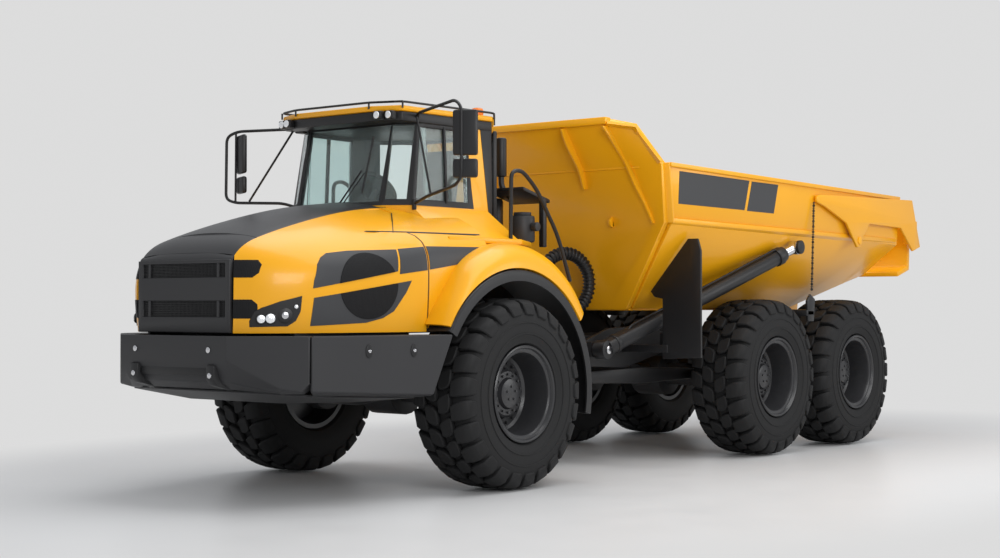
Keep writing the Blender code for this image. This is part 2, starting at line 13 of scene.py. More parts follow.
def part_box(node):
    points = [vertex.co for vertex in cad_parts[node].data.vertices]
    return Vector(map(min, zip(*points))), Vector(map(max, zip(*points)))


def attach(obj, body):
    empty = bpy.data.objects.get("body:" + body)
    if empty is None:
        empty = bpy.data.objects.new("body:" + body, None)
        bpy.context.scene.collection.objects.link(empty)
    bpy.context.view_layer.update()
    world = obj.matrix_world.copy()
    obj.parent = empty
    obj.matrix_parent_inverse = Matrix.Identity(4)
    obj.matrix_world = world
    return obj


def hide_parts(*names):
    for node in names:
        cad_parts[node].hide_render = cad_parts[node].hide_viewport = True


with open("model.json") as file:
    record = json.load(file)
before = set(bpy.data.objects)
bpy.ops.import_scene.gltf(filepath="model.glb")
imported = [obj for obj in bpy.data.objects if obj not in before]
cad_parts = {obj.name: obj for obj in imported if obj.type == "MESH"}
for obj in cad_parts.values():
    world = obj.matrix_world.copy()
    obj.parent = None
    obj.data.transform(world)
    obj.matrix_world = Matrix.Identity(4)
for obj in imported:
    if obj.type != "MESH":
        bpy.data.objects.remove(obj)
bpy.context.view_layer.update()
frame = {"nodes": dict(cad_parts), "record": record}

print("pieces in the packed truck:", len(frame["nodes"]))

# %% [markdown]
# The camera stands low at the front left corner, a little under eye height, with a mild
# long lens. It comes first, so that every later piece can be judged through it.

# %% Camera
low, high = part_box("tyre_front_left")
FRONT_AXLE = (low.y + high.y) / 2
HUB_HEIGHT = (low.z + high.z) / 2
TYRE_X = (low.x + high.x) / 2
CAMERA_PLACE = (11.20, FRONT_AXLE - 12.09, 1.72)
CAMERA_TURN = 0.6823
CAMERA_TILT = 0.0152

bpy.ops.object.camera_add(location=CAMERA_PLACE, rotation=(math.pi / 2 + CAMERA_TILT, 0, CAMERA_TURN))
camera = bpy.context.object
camera.data.lens = 59.9
camera.data.sensor_width = 36.0
bpy.context.scene.camera = camera
bpy.context.scene.view_settings.view_transform = "Standard"
print("camera", [round(v, 2) for v in camera.location])

# %% [markdown]
# A studio floor is a plain pale sheet. The world lights the truck evenly from all round
# and shows a pale grey to the camera and in reflections, so the horizon disappears.

# %% Floor, world and lamps
BACKDROP = (0.72, 0.72, 0.72, 1.0)


def backdrop_world():
    world = bpy.data.worlds.new("studio")
    bpy.context.scene.world = world
    world.use_nodes = True
    nodes, links = world.node_tree.nodes, world.node_tree.links
    nodes.clear()
    rays = nodes.new("ShaderNodeLightPath")
    seen = nodes.new("ShaderNodeMath")
    seen.operation = "MAXIMUM"
    lit = nodes.new("ShaderNodeBackground")
    lit.inputs["Color"].default_value = (0.95, 0.97, 1.0, 1.0)
    lit.inputs["Strength"].default_value = 0.55
    shown = nodes.new("ShaderNodeBackground")
    shown.inputs["Color"].default_value = BACKDROP
    shown.inputs["Strength"].default_value = 1.0
    mix = nodes.new("ShaderNodeMixShader")
    out = nodes.new("ShaderNodeOutputWorld")
    links.new(rays.outputs["Is Camera Ray"], seen.inputs[0])
    links.new(rays.outputs["Is Transmission Ray"], seen.inputs[1])
    links.new(seen.outputs[0], mix.inputs[0])
    links.new(lit.outputs[0], mix.inputs[1])
    links.new(shown.outputs[0], mix.inputs[2])
    links.new(mix.outputs[0], out.inputs[0])


def softbox(name, place, target, size, power):
    """An area lamp at place, turned to face target."""
    bpy.ops.object.light_add(type="AREA", location=place)
    lamp = bpy.context.object
    lamp.name = name
    lamp.data.shape = "RECTANGLE"
    lamp.data.size, lamp.data.size_y = size
    lamp.data.energy = power
    lamp.rotation_euler = (Vector(target) - Vector(place)).to_track_quat("-Z", "Y").to_euler()


backdrop_world()
softbox("overhead", (2.0, 0.0, 11.0), (0, 0, 0), (9.0, 14.0), 1050)
softbox("key", (12.0, -9.0, 6.0), (0, -1, 1.5), (6.0, 5.0), 620)
softbox("fill", (11.0, 6.0, 5.0), (0, 2, 1.5), (6.0, 5.0), 260)

bpy.ops.mesh.primitive_plane_add(size=120, location=(0, 0, -0.002))
floor = bpy.context.object
floor.name = "studio_floor"

# %% [markdown]
# Paint, rubber and steel differ in gloss, in how their colour wanders and in the size of
# their surface grain. One helper builds all of these from object coordinates: a slow
# noise shifts the colour, and a fine one makes the grain that a bump node reads.

# %% Materials
GLOSS_CONTRAST = 0.12


def finish(name, colour, roughness, metallic=0.0, drift=0.06, grain=60.0, bump=0.02, coat=0.0,
           specular=0.5):
    """A procedural surface: drifting colour, uneven gloss and fine grain."""
    material = bpy.data.materials.new(name)
    material.use_nodes = True
    nodes, links = material.node_tree.nodes, material.node_tree.links
    shader = nodes["Principled BSDF"]
    shader.inputs["Metallic"].default_value = metallic
    shader.inputs["Coat Weight"].default_value = coat
    shader.inputs["Coat Roughness"].default_value = 0.08
    shader.inputs["Specular IOR Level"].default_value = specular
    where = nodes.new("ShaderNodeTexCoord")
    slow = nodes.new("ShaderNodeTexNoise")
    slow.inputs["Scale"].default_value = 1.7
    slow.inputs["Detail"].default_value = 5.0
    fine = nodes.new("ShaderNodeTexNoise")
    fine.inputs["Scale"].default_value = grain
    fine.inputs["Detail"].default_value = 3.0
    for noise in (slow, fine):
        links.new(where.outputs["Object"], noise.inputs["Vector"])
    shade = nodes.new("ShaderNodeMix")
    shade.data_type = "RGBA"
    dark = tuple(c * (1 - drift) for c in colour)
    pale = tuple(min(1.0, c * (1 + drift)) for c in colour)
    shade.inputs["A"].default_value = (*dark, 1.0)
    shade.inputs["B"].default_value = (*pale, 1.0)
    links.new(slow.outputs["Fac"], shade.inputs["Factor"])
    links.new(shade.outputs["Result"], shader.inputs["Base Color"])
    gloss = nodes.new("ShaderNodeMapRange")
    gloss.inputs["To Min"].default_value = roughness - GLOSS_CONTRAST / 2
    gloss.inputs["To Max"].default_value = roughness + GLOSS_CONTRAST / 2
    links.new(slow.outputs["Fac"], gloss.inputs["Value"])
    links.new(gloss.outputs["Result"], shader.inputs["Roughness"])
    relief = nodes.new("ShaderNodeBump")
    relief.inputs["Strength"].default_value = bump
    relief.inputs["Distance"].default_value = 0.01
    links.new(fine.outputs["Fac"], relief.inputs["Height"])
    links.new(relief.outputs["Normal"], shader.inputs["Normal"])
    return material


YELLOW = finish("yellow_paint", (0.84, 0.385, 0.005), 0.34, coat=0.18, drift=0.04, bump=0.010, specular=0.35)
CHARCOAL = finish("charcoal_plastic", (0.030, 0.030, 0.032), 0.50, grain=220, bump=0.08, specular=0.35)
HOOD_BLACK = finish("anti_glare_black", (0.024, 0.024, 0.026), 0.38, grain=260, bump=0.05)
BLACK = finish("black_steel", (0.012, 0.012, 0.013), 0.42, grain=90, bump=0.04, specular=0.4)
RUBBER = finish("tyre_rubber", (0.014, 0.014, 0.0145), 0.70, grain=140, drift=0.25, bump=0.15, specular=0.25)
RIM = finish("rim_paint", (0.026, 0.026, 0.028), 0.30, grain=80, bump=0.05)
DECAL = finish("decal_grey", (0.048, 0.049, 0.052), 0.42, grain=300, bump=0.01, specular=0.3)
CHROME = finish("chrome_steel", (0.62, 0.62, 0.64), 0.18, metallic=1.0, grain=200, bump=0.01)
CAST = finish("cast_iron", (0.05, 0.05, 0.05), 0.6, metallic=0.4, grain=50, bump=0.2)
FABRIC = finish("seat_cloth", (0.035, 0.036, 0.04), 0.88, grain=500, bump=0.4)
AMBER = finish("amber_lens", (0.85, 0.22, 0.02), 0.18, coat=0.6)
FLOOR = finish("studio_floor", (0.68, 0.68, 0.68), 0.36, drift=0.005, grain=5, bump=0.0, specular=0.3)
FLOOR_FADE = (6.0, 9.5)      # distance from the truck over which the floor turns into backdrop


FLOOR_SHAPE = (1.45, 0.85, 1.0)


def fade_floor():
    """Far from the truck the floor glows like the backdrop, so no horizon shows."""
    nodes, links = FLOOR.node_tree.nodes, FLOOR.node_tree.links
    where = nodes.new("ShaderNodeTexCoord")
    reach = nodes.new("ShaderNodeVectorMath")
    reach.operation = "LENGTH"
    ramp = nodes.new("ShaderNodeMapRange")
    ramp.interpolation_type = "SMOOTHSTEP"
    ramp.inputs["From Min"].default_value, ramp.inputs["From Max"].default_value = FLOOR_FADE
    glow = nodes.new("ShaderNodeEmission")
    glow.inputs["Color"].default_value = BACKDROP
    mix = nodes.new("ShaderNodeMixShader")
    squash = nodes.new("ShaderNodeVectorMath")
    squash.operation = "MULTIPLY"
    squash.inputs[1].default_value = FLOOR_SHAPE
    links.new(where.outputs["Object"], squash.inputs[0])
    links.new(squash.outputs["Vector"], reach.inputs[0])
    links.new(reach.outputs["Value"], ramp.inputs["Value"])
    links.new(ramp.outputs["Result"], mix.inputs[0])
    links.new(nodes["Principled BSDF"].outputs[0], mix.inputs[1])
    links.new(glow.outputs[0], mix.inputs[2])
    links.new(mix.outputs[0], nodes["Material Output"].inputs["Surface"])


fade_floor()
floor.data.materials.append(FLOOR)


def glass(name, tint, roughness=0.02, clarity=1.0):
    material = bpy.data.materials.new(name)
    material.use_nodes = True
    nodes, links = material.node_tree.nodes, material.node_tree.links
    shader = nodes["Principled BSDF"]
    shader.inputs["Transmission Weight"].default_value = clarity
    shader.inputs["IOR"].default_value = 1.3
    shader.inputs["Roughness"].default_value = roughness
    where = nodes.new("ShaderNodeTexCoord")
    haze = nodes.new("ShaderNodeTexNoise")
    haze.inputs["Scale"].default_value = 2.5
    links.new(where.outputs["Object"], haze.inputs["Vector"])
    shade = nodes.new("ShaderNodeMix")
    shade.data_type = "RGBA"
    shade.inputs["A"].default_value = (*tint, 1.0)
    shade.inputs["B"].default_value = (*(c * 0.94 for c in tint), 1.0)
    links.new(haze.outputs["Fac"], shade.inputs["Factor"])
    links.new(shade.outputs["Result"], shader.inputs["Base Color"])
    return material


GLASS = glass("cab_glass", (0.82, 0.95, 0.94), clarity=0.93)
LENS = glass("lamp_lens", (0.92, 0.94, 0.96))
LAMP = finish("lamp_reflector", (0.90, 0.92, 0.95), 0.22, metallic=0.6, grain=120, bump=0.1)
print("materials made:", len(bpy.data.materials))

# %% [markdown]
# Every piece is modelled the same few ways: a bevelled block, a plate with its own
# outline, a bent tube, a turned ring and a curved panel. These helpers do each one with
# the operators that a modeller would use by hand.

# %% Modelling helpers
def at(x, y, z):
    """A place given from the front axle, in the truck's frame."""
    return Vector((x, y + FRONT_AXLE, z))


def clear():
    if bpy.context.mode != "OBJECT":
        bpy.ops.object.mode_set(mode="OBJECT")
    bpy.ops.object.select_all(action="DESELECT")


def pick(piece):
    clear()
    piece.select_set(True)
    bpy.context.view_layer.objects.active = piece


def edit(piece, *steps):
    """Runs edit-mode steps on the whole piece."""
    pick(piece)
    bpy.ops.object.mode_set(mode="EDIT")
    bpy.ops.mesh.select_all(action="SELECT")
    for step in steps:
        step()
    bpy.ops.object.mode_set(mode="OBJECT")


def tidy_normals():
    bpy.ops.mesh.remove_doubles(threshold=0.0002)
    bpy.ops.mesh.normals_make_consistent(inside=False)


def modify(piece, kind, **settings):
    """Adds a modifier and applies it."""
    pick(piece)
    modifier = piece.modifiers.new(kind.lower(), kind)
    for key, value in settings.items():
        setattr(modifier, key, value)
    bpy.ops.object.modifier_apply(modifier=modifier.name)


def soften(piece, width, segments=2, angle=30):
    modify(piece, "BEVEL", width=width, segments=segments, limit_method="ANGLE",
           angle_limit=math.radians(angle))


def smooth(piece, angle=35):
    pick(piece)
    bpy.ops.object.shade_smooth_by_angle(angle=math.radians(angle))


def dress(piece, name, material, body, slot, *nodes):
    """Names a piece, paints it and hangs it on its body."""
    piece.name = name
    piece.data.materials.clear()
    piece.data.materials.append(material)
    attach(piece, body)
    if nodes:
        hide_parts(*nodes)
    return piece


def settle(piece):
    pick(piece)
    bpy.ops.object.transform_apply(location=True, rotation=True, scale=True)


def block(low, high, bevel=0.01):
    low, high = Vector(low), Vector(high)
    clear()
    bpy.ops.mesh.primitive_cube_add(size=1, location=(low + high) / 2)
    piece = bpy.context.object
    piece.scale = high - low
    settle(piece)
    soften(piece, bevel)
    smooth(piece)
    return piece


def plate(outline, push, bevel=0.006):
    """A flat outline of points in space, pushed along a vector."""
    clear()
    bpy.ops.mesh.primitive_circle_add(vertices=len(outline), fill_type="NGON")
    piece = bpy.context.object
    for vertex, point in zip(piece.data.vertices, outline):
        vertex.co = point
    edit(piece, lambda: bpy.ops.mesh.extrude_region_move(TRANSFORM_OT_translate={"value": push}),
         lambda: bpy.ops.mesh.select_all(action="SELECT"), tidy_normals)
    if bevel:
        soften(piece, bevel)
    smooth(piece)
    return piece


def bend(points, radius, steps=5):
    """The same route with its inner corners rounded."""
    points = [Vector(p) for p in points]
    route = [points[0]]
    for before, corner, after in zip(points, points[1:], points[2:]):
        reach = min(radius, (before - corner).length / 2.1, (after - corner).length / 2.1)
        start = corner + (before - corner).normalized() * reach
        end = corner + (after - corner).normalized() * reach
        for i in range(steps + 1):
            t = i / steps
            route.append((1 - t) ** 2 * start + 2 * t * (1 - t) * corner + t * t * end)
    return route + [points[-1]]


def tube(points, thickness, radius=0.08, closed=False):
    """A round bar bent through the points."""
    route = points if closed else bend(points, radius)
    curve = bpy.data.curves.new("tube", "CURVE")
    curve.dimensions = "3D"
    curve.bevel_depth = thickness
    curve.bevel_resolution = 3
    curve.use_fill_caps = True
    spline = curve.splines.new("POLY")
    spline.points.add(len(route) - 1)
    for target, point in zip(spline.points, route):
        target.co = (*point, 1)
    spline.use_cyclic_u = closed
    piece = bpy.data.objects.new("tube", curve)
    bpy.context.scene.collection.objects.link(piece)
    pick(piece)
    bpy.ops.object.convert(target="MESH")
    piece = bpy.context.object
    edit(piece, tidy_normals)
    smooth(piece, 50)
    return piece


def turned(profile, centre, steps=64, angle=40):
    """An (x, radius) profile screwed round the X axis through centre."""
    clear()
    bpy.ops.mesh.primitive_circle_add(vertices=len(profile), fill_type="NOTHING")
    piece = bpy.context.object
    for vertex, (x, radius) in zip(piece.data.vertices, profile):
        vertex.co = (x, 0, radius)
    modify(piece, "SCREW", axis="X", steps=steps, render_steps=steps, use_merge_vertices=True,
           merge_threshold=0.0001)
    edit(piece, tidy_normals)
    piece.location = centre
    settle(piece)
    smooth(piece, angle)
    return piece


def panel(rows, thickness, levels=2, offset=-1.0):
    """A curved panel through rows of points, smoothed and given its thickness.

    Offset -1 thickens it away from (along the row) x (from row to row), +1 towards that.
    """
    clear()
    bpy.ops.mesh.primitive_grid_add(x_subdivisions=len(rows[0]) - 1, y_subdivisions=len(rows) - 1)
    piece = bpy.context.object
    for vertex, point in zip(piece.data.vertices, [p for row in rows for p in row]):
        vertex.co = point
    if levels:
        modify(piece, "SUBSURF", levels=levels, render_levels=levels, boundary_smooth="PRESERVE_CORNERS")
    modify(piece, "SOLIDIFY", thickness=thickness, offset=offset, use_even_offset=True)
    edit(piece, tidy_normals)
    smooth(piece, 40)
    return piece


def mirrored(piece):
    """A copy of a piece on the other side of the truck, with its own mesh."""
    twin = bpy.data.objects.new(piece.name + "_twin", piece.data.copy())
    bpy.context.scene.collection.objects.link(twin)
    twin.data.transform(Matrix.Scale(-1, 4, (1, 0, 0)))
    edit(twin, tidy_normals)
    return twin


def moved(piece, matrix):
    copy = bpy.data.objects.new(piece.name + "_copy", piece.data.copy())
    bpy.context.scene.collection.objects.link(copy)
    copy.data.transform(matrix)
    return copy


def joined(pieces):
    clear()
    for piece in pieces:
        piece.select_set(True)
    bpy.context.view_layer.objects.active = pieces[0]
    bpy.ops.object.join()
    return bpy.context.object


def cut(piece, outline, push, operation="DIFFERENCE"):
    """Cuts a piece with a flat outline pushed along a vector, or keeps only what is inside."""
    cutter = plate(outline, push, bevel=0)
    modify(piece, "BOOLEAN", operation=operation, object=cutter, solver="EXACT")
    bpy.data.objects.remove(cutter)
    smooth(piece)
    return piece


def duplicate(piece):
    return moved(piece, Matrix.Identity(4))


def disc(centre, axis, radius, depth, bevel=0.004, sides=28):
    """A round boss whose axis points along axis, standing on centre."""
    axis = Vector(axis).normalized()
    clear()
    bpy.ops.mesh.primitive_cylinder_add(vertices=sides, radius=radius, depth=depth,
                                        location=Vector(centre) + axis * depth / 2,
                                        rotation=axis.to_track_quat("Z", "Y").to_euler())
    piece = bpy.context.object
    settle(piece)
    if bevel:
        soften(piece, bevel)
    smooth(piece)
    return piece


def both_sides(make, name, material, body, slot, node=None):
    """Makes a left piece and its mirror image, each on its own body when body has {}."""
    left = make()
    right = mirrored(left)
    for piece, side in ((left, "left"), (right, "right")):
        smooth(piece)
        nodes = [node.format(side)] if node else []
        dress(piece, f"{name}_{side}", material, body.format(side), slot, *nodes)
    return left, right

# %% [markdown]
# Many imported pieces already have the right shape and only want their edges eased. A copy
# is merged, its flat faces are dissolved to clean outlines, and a narrow bevel catches
# the light as a folded or welded plate does.

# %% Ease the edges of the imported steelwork
BODY_OF = {node: body for body, nodes in frame["record"]["behaviour"]["bodies"].items() for node in nodes}
SLOT_OF = {row["node"]: row["material_slot"] for row in frame["record"]["subparts"]}


WELDED = ("body_floor", "body_front")          # grown a little, so that they meet the body's sides
WELD_GROWTH = 0.012


def eased(node, material, width=0.008, angle=40):
    source = frame["nodes"][node]
    piece = bpy.data.objects.new(node + "_eased", source.data.copy())
    bpy.context.scene.collection.objects.link(piece)
    edit(piece, tidy_normals, lambda: bpy.ops.mesh.dissolve_limited(angle_limit=math.radians(1.0)))
    if width:
        if node in WELDED:
            modify(piece, "DISPLACE", strength=WELD_GROWTH, mid_level=0.0)
        soften(piece, width, angle=angle)
    smooth(piece)
    return dress(piece, node + "_eased", material, BODY_OF[node], SLOT_OF[node], node)


STEELWORK = (
    ("front_chassis", BLACK, 0.006), ("rear_chassis", BLACK, 0.006), ("hitch_yoke", CHARCOAL, 0.008),
    ("front_axle", CHARCOAL, 0.008), ("middle_axle", CHARCOAL, 0.008), ("rear_axle", CHARCOAL, 0.008),
    ("skid_plate", CHARCOAL, 0.008), ("engine_block", CAST, 0.02), ("tailgate", YELLOW, 0.008),
    ("body_front", YELLOW, 0.008), ("body_floor", YELLOW, 0.006), ("driver_seat", FABRIC, 0.03),
    ("dashboard", CHARCOAL, 0.012), ("cab_door", BLACK, 0.01),
)
for node, material, width in STEELWORK:
    eased(node, material, width)
for side in ("left", "right"):
    for node, material, width in (
            ("bogie_beam", BLACK, 0.012), ("rear_guard", BLACK, 0.004), ("body_side", YELLOW, 0.008),
            ("hoist_barrel", BLACK, 0.004), ("hoist_rod", CHROME, 0.004),
            ("steering_barrel", BLACK, 0.004), ("steering_rod", CHROME, 0.004)):
        eased(f"{node}_{side}", material, width)
for node in ("side_window_left", "side_window_right", "rear_window"):
    eased(node, GLASS, 0)

# %% [markdown]
# A hauler tyre is a smooth round carcass with tall blocks in four staggered rows. An
# inner and a shoulder block follow the tyre's crown and are copied round. The finished
# tyre is copied to the other five hubs.

# %% Tyres
TYRE_PROFILE = (
    (0.27, 0.445), (0.300, 0.462), (0.318, 0.475), (0.322, 0.50), (0.336, 0.53), (0.343, 0.60), (0.340, 0.68),
    (0.330, 0.74), (0.312, 0.785), (0.26, 0.818), (0.16, 0.832), (0.0, 0.836), (-0.16, 0.832), (-0.26, 0.818),
    (-0.312, 0.785), (-0.330, 0.74), (-0.340, 0.68), (-0.343, 0.60), (-0.336, 0.53), (-0.322, 0.50),
    (-0.318, 0.475), (-0.300, 0.462), (-0.27, 0.445))
SHOULDER_LUG = (              # across the tyre, top radius, lag in degrees, half width
    (0.150, 0.887, 1.2, 0.070),
    (0.210, 0.883, 2.4, 0.082),
    (0.270, 0.872, 3.2, 0.086),
    (0.318, 0.842, 3.5, 0.084),
    (0.341, 0.785, 3.6, 0.076),
    (0.349, 0.735, 3.6, 0.062))
INNER_LUG = (
    (0.010, 0.889, 5.2, 0.060),
    (0.050, 0.889, 6.0, 0.082),
    (0.110, 0.888, 7.4, 0.086),
    (0.148, 0.887, 8.6, 0.066))
LUGS_ROUND = 25
LUG_DEPTH = 0.055


def lug(stations):
    clear()
    bpy.ops.mesh.primitive_grid_add(x_subdivisions=1, y_subdivisions=len(stations) - 1)
    piece = bpy.context.object
    for vertex, (station, edge) in zip(piece.data.vertices, [(s, e) for s in stations for e in (-1, 1)]):
        x, top, lag, half = station
        angle = math.radians(lag) + edge * half / top
        vertex.co = (x, top * math.sin(angle), top * math.cos(angle))
    modify(piece, "SOLIDIFY", thickness=LUG_DEPTH, offset=1.0)
    edit(piece, tidy_normals)
    soften(piece, 0.010, segments=1)
    return piece


def tyre():
    carcass = turned(TYRE_PROFILE, (0, 0, 0), 80, 60)
    blocks = []
    half_step = math.pi / LUGS_ROUND
    for source in (lug(SHOULDER_LUG), lug(INNER_LUG)):
        for i in range(LUGS_ROUND):
            turn = Matrix.Rotation(2 * half_step * i, 4, "X")
            flip = Matrix.Rotation(2 * half_step * i + half_step, 4, "X") @ Matrix.Scale(-1, 4, (1, 0, 0))
            blocks += [moved(source, turn), moved(source, flip)]
        bpy.data.objects.remove(source)
    treads = joined(blocks)
    edit(treads, lambda: bpy.ops.mesh.normals_make_consistent(inside=False))
    rings = [turned([(0.330, 0.545), (0.345, 0.552), (0.347, 0.562), (0.335, 0.57)], (0, 0, 0), 80),
             turned([(0.338, 0.655), (0.3465, 0.660), (0.3465, 0.668), (0.336, 0.674)], (0, 0, 0), 80)]
    piece = joined([carcass, treads, *rings])
    smooth(piece, 40)
    return piece


RIM_PROFILE = (
    (0.285, 0.446), (0.318, 0.452), (0.326, 0.442), (0.318, 0.428), (0.298, 0.418), (0.298, 0.398),
    (0.288, 0.385), (0.268, 0.378), (0.10, 0.366), (0.035, 0.355), (0.015, 0.33), (0.005, 0.25),
    (0.025, 0.235), (0.085, 0.225), (0.105, 0.205), (0.110, 0.150), (0.145, 0.135), (0.155, 0.105),
    (0.155, 0.0), (-0.04, 0.0), (-0.04, 0.355), (-0.29, 0.40), (-0.29, 0.445))


def bolt_circle(radius, count, x, size, height):
    bolts = []
    for i in range(count):
        turn = 2 * math.pi * i / count
        clear()
        bpy.ops.mesh.primitive_cylinder_add(
            vertices=6, radius=size, depth=height, rotation=(0, math.pi / 2, 0),
            location=(x, radius * math.sin(turn), radius * math.cos(turn)))
        settle(bpy.context.object)
        bolts.append(bpy.context.object)
    return bolts


def rim():
    bowl = turned(RIM_PROFILE, (0, 0, 0), 64, 30)
    bolts = bolt_circle(0.295, 20, 0.020, 0.014, 0.035) + bolt_circle(0.178, 14, 0.115, 0.012, 0.022)
    bolts += bolt_circle(0.065, 5, 0.158, 0.012, 0.016)
    piece = joined([bowl, *bolts])
    return piece


first_tyre, first_rim = tyre(), rim()
for axle in ("front", "middle", "rear"):
    for side, sign in (("left", 1), ("right", -1)):
        low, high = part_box(f"tyre_{axle}_{side}")
        hub = Matrix.Translation((low + high) / 2) @ Matrix.Scale(sign, 4, (1, 0, 0))
        for kind, source, material in (("tyre", first_tyre, RUBBER), ("rim", first_rim, RIM)):
            piece = moved(source, hub)
            if sign < 0:
                edit(piece, lambda: bpy.ops.mesh.flip_normals())
            node = f"{kind}_{axle}_{side}"
            dress(piece, node + "_finished", material, f"wheel_{axle}_{side}", SLOT_OF[node], node)
for source in (first_tyre, first_rim):
    bpy.data.objects.remove(source)
print("tyres and rims: 12")

# %% [markdown]
# One skin runs from the nose back past the windscreen's foot. Its grid follows the foot,
# the waist and the edge of the black top, and subdivision rounds it. The hood panel, the
# cowl and the flat of the fender are all cut from that skin, so they stay flush. An inlay
# follows its host exactly: a copy is swelled by a few millimetres along its normals and
# cut to an outline pushed through it; the dark seam lines are made that way.

# %% Hood, cowl and fender flat
SKIN_STATIONS = (             # y, z of the top's edge; x, y, z of the waist; height of the crown
    (-2.600, 2.135, 0.640, -2.645, 1.80, 2.165),
    (-2.550, 2.190, 0.780, -2.560, 1.83, 2.225),
    (-2.450, 2.255, 0.920, -2.410, 1.86, 2.295),
    (-2.310, 2.305, 1.030, -2.230, 1.89, 2.350),
    (-2.050, 2.385, 1.130, -1.980, 1.94, 2.435),
    (-1.700, 2.475, 1.220, -1.620, 1.98, 2.530),
    (-1.340, 2.555, 1.290, -1.300, 2.02, 2.615),
    (-1.010, 2.600, 1.335, -1.080, 2.06, 2.655),
    (-0.820, 2.615, 1.360, -0.960, 2.09, 2.670),
    (-0.560, 2.630, 1.362, -0.600, 2.12, 2.680),
    (-0.100, 2.640, 1.362, -0.100, 2.15, 2.690))
SECTION = ((0.95, 0.72), (0.76, 0.42), (0.42, 0.17), (0.0, 0.0))
SKIN_FOOT = 1.475
TOP_EDGE = 0.60


def skin_rows():
    rows = []
    for edge_y, edge_z, x, y, z, crown in SKIN_STATIONS:
        row = [at(x - 0.025, y + 0.015, SKIN_FOOT), at(x - 0.008, y + 0.005, (SKIN_FOOT + z) / 2), at(x, y, z)]
        for out, down in SECTION:
            row.append(at(TOP_EDGE + out * (x - TOP_EDGE), edge_y + out * (y - edge_y),
                          edge_z + down * (z - edge_z)))
        rows.append(row)
    return rows


skin = panel(skin_rows(), 0.03, offset=1.0)
WEDGE = ((0.50, -0.83), (0.78, -0.85), (1.24, -1.32), (1.80, -1.32), (1.80, 0.40), (0.50, 0.40))
COWL_FOOT = 2.367
SEAM = 0.007
BEHIND_SEAM = ((-0.968, 1.20), (-0.968, 2.28), (-0.995, 2.335), (-1.05, COWL_FOOT), (-1.05, 3.0), (0.2, 3.0),
               (0.2, 1.20))
FENDER_FLAT = ((-0.961, 1.40), (-0.961, 2.28), (-0.988, 2.335), (-1.04, COWL_FOOT - SEAM),
               (-0.12, COWL_FOOT - SEAM), (-0.12, 2.24), (-0.21, 2.22), (-0.53, 2.08), (-0.75, 1.80),
               (-0.86, 1.64), (-0.90, 1.40))


def inlay(host, outline, push, proud):
    piece = duplicate(host)
    modify(piece, "DISPLACE", strength=proud, mid_level=0.0)
    return cut(piece, outline, push, "INTERSECT")


def hood_side():
    piece = duplicate(skin)
    cut(piece, [at(x, y, COWL_FOOT) for x, y in WEDGE], (0, 0, 0.6))
    cut(piece, [at(0.62, y, z) for y, z in BEHIND_SEAM], (1.2, 0, 0))
    return cut(piece, [at(1.0, y, COWL_FOOT - z) for y, z in ((-1.52, 0.009), (-1.52, 0.002), (-1.31, 0.002),
                                                              (-1.31, 0.009))], (0.6, 0, 0))


def cowl():
    outline = [at(x, y + SEAM * 1.4, COWL_FOOT + SEAM) for x, y in WEDGE]
    return cut(duplicate(skin), outline, (0, 0, 0.6), "INTERSECT")


def fender_flat():
    return cut(duplicate(skin), [at(1.0, y, z) for y, z in FENDER_FLAT], (0.6, 0, 0), "INTERSECT")


both_sides(hood_side, "hood_panel", YELLOW, "hood", "yellow_paint", "hood_side_{}")
both_sides(cowl, "cowl_panel", YELLOW, "front_frame", "yellow_paint")
both_sides(fender_flat, "fender_flat", YELLOW, "front_frame", "yellow_paint")

HOOD_SEAM = ((-1.52, 2.362), (-1.52, 2.371), (-1.33, 2.372), (-1.33, 2.363))


def seam_lines():
    lines = (((-1.325, 2.363), (-1.325, 2.372), (-0.13, 2.377), (-0.13, 2.366)),
             ((-0.969, 1.48), (-0.969, 2.285), (-0.994, 2.335), (-1.04, 2.366), (-1.05, 2.362), (-1.003, 2.332),
              (-0.977, 2.28), (-0.977, 1.48)))
    pieces = [inlay(skin, [at(1.0, y, z) for y, z in line], (0.6, 0, 0), 0.0015) for line in lines]
    diagonal = [at(x, y, 2.36) for x, y in ((0.78, -0.856), (1.25, -1.33), (1.25, -1.318), (0.78, -0.844))]
    return joined([*pieces, inlay(skin, diagonal, (0, 0, 0.5), 0.0015)])


TOP_SHAPE = ((-0.60, 0.0), (-0.53, 0.40), (-0.38, 0.82), (-0.15, 1.0), (0.15, 1.0), (0.38, 0.82), (0.53, 0.40),
             (0.60, 0.0))


def hood_top(first, last, lift):
    rows = []
    for edge_y, edge_z, _, _, _, crown in SKIN_STATIONS[first:last]:
        rows.append([at(x, edge_y, edge_z + (crown - edge_z) * rise + lift * (rise > 0.9)) for x, rise in TOP_SHAPE])
    return panel(rows, 0.03)


def cowl_backing():
    outline = [at(x, y, 2.36) for x, y in ((0.53, -1.15), (0.85, -1.15), (1.00, -0.95), (1.00, -0.70), (0.53, -0.70))]
    return inlay(skin, outline, (0, 0, 0.5), -0.008)


def hood_skirt():
    outline = [at(x, y, 1.36) for x, y in ((0.93, -2.25), (0.97, -2.25), (1.14, -1.0), (1.10, -1.0))]
    return plate(outline, (0, 0, 0.24), 0.006)


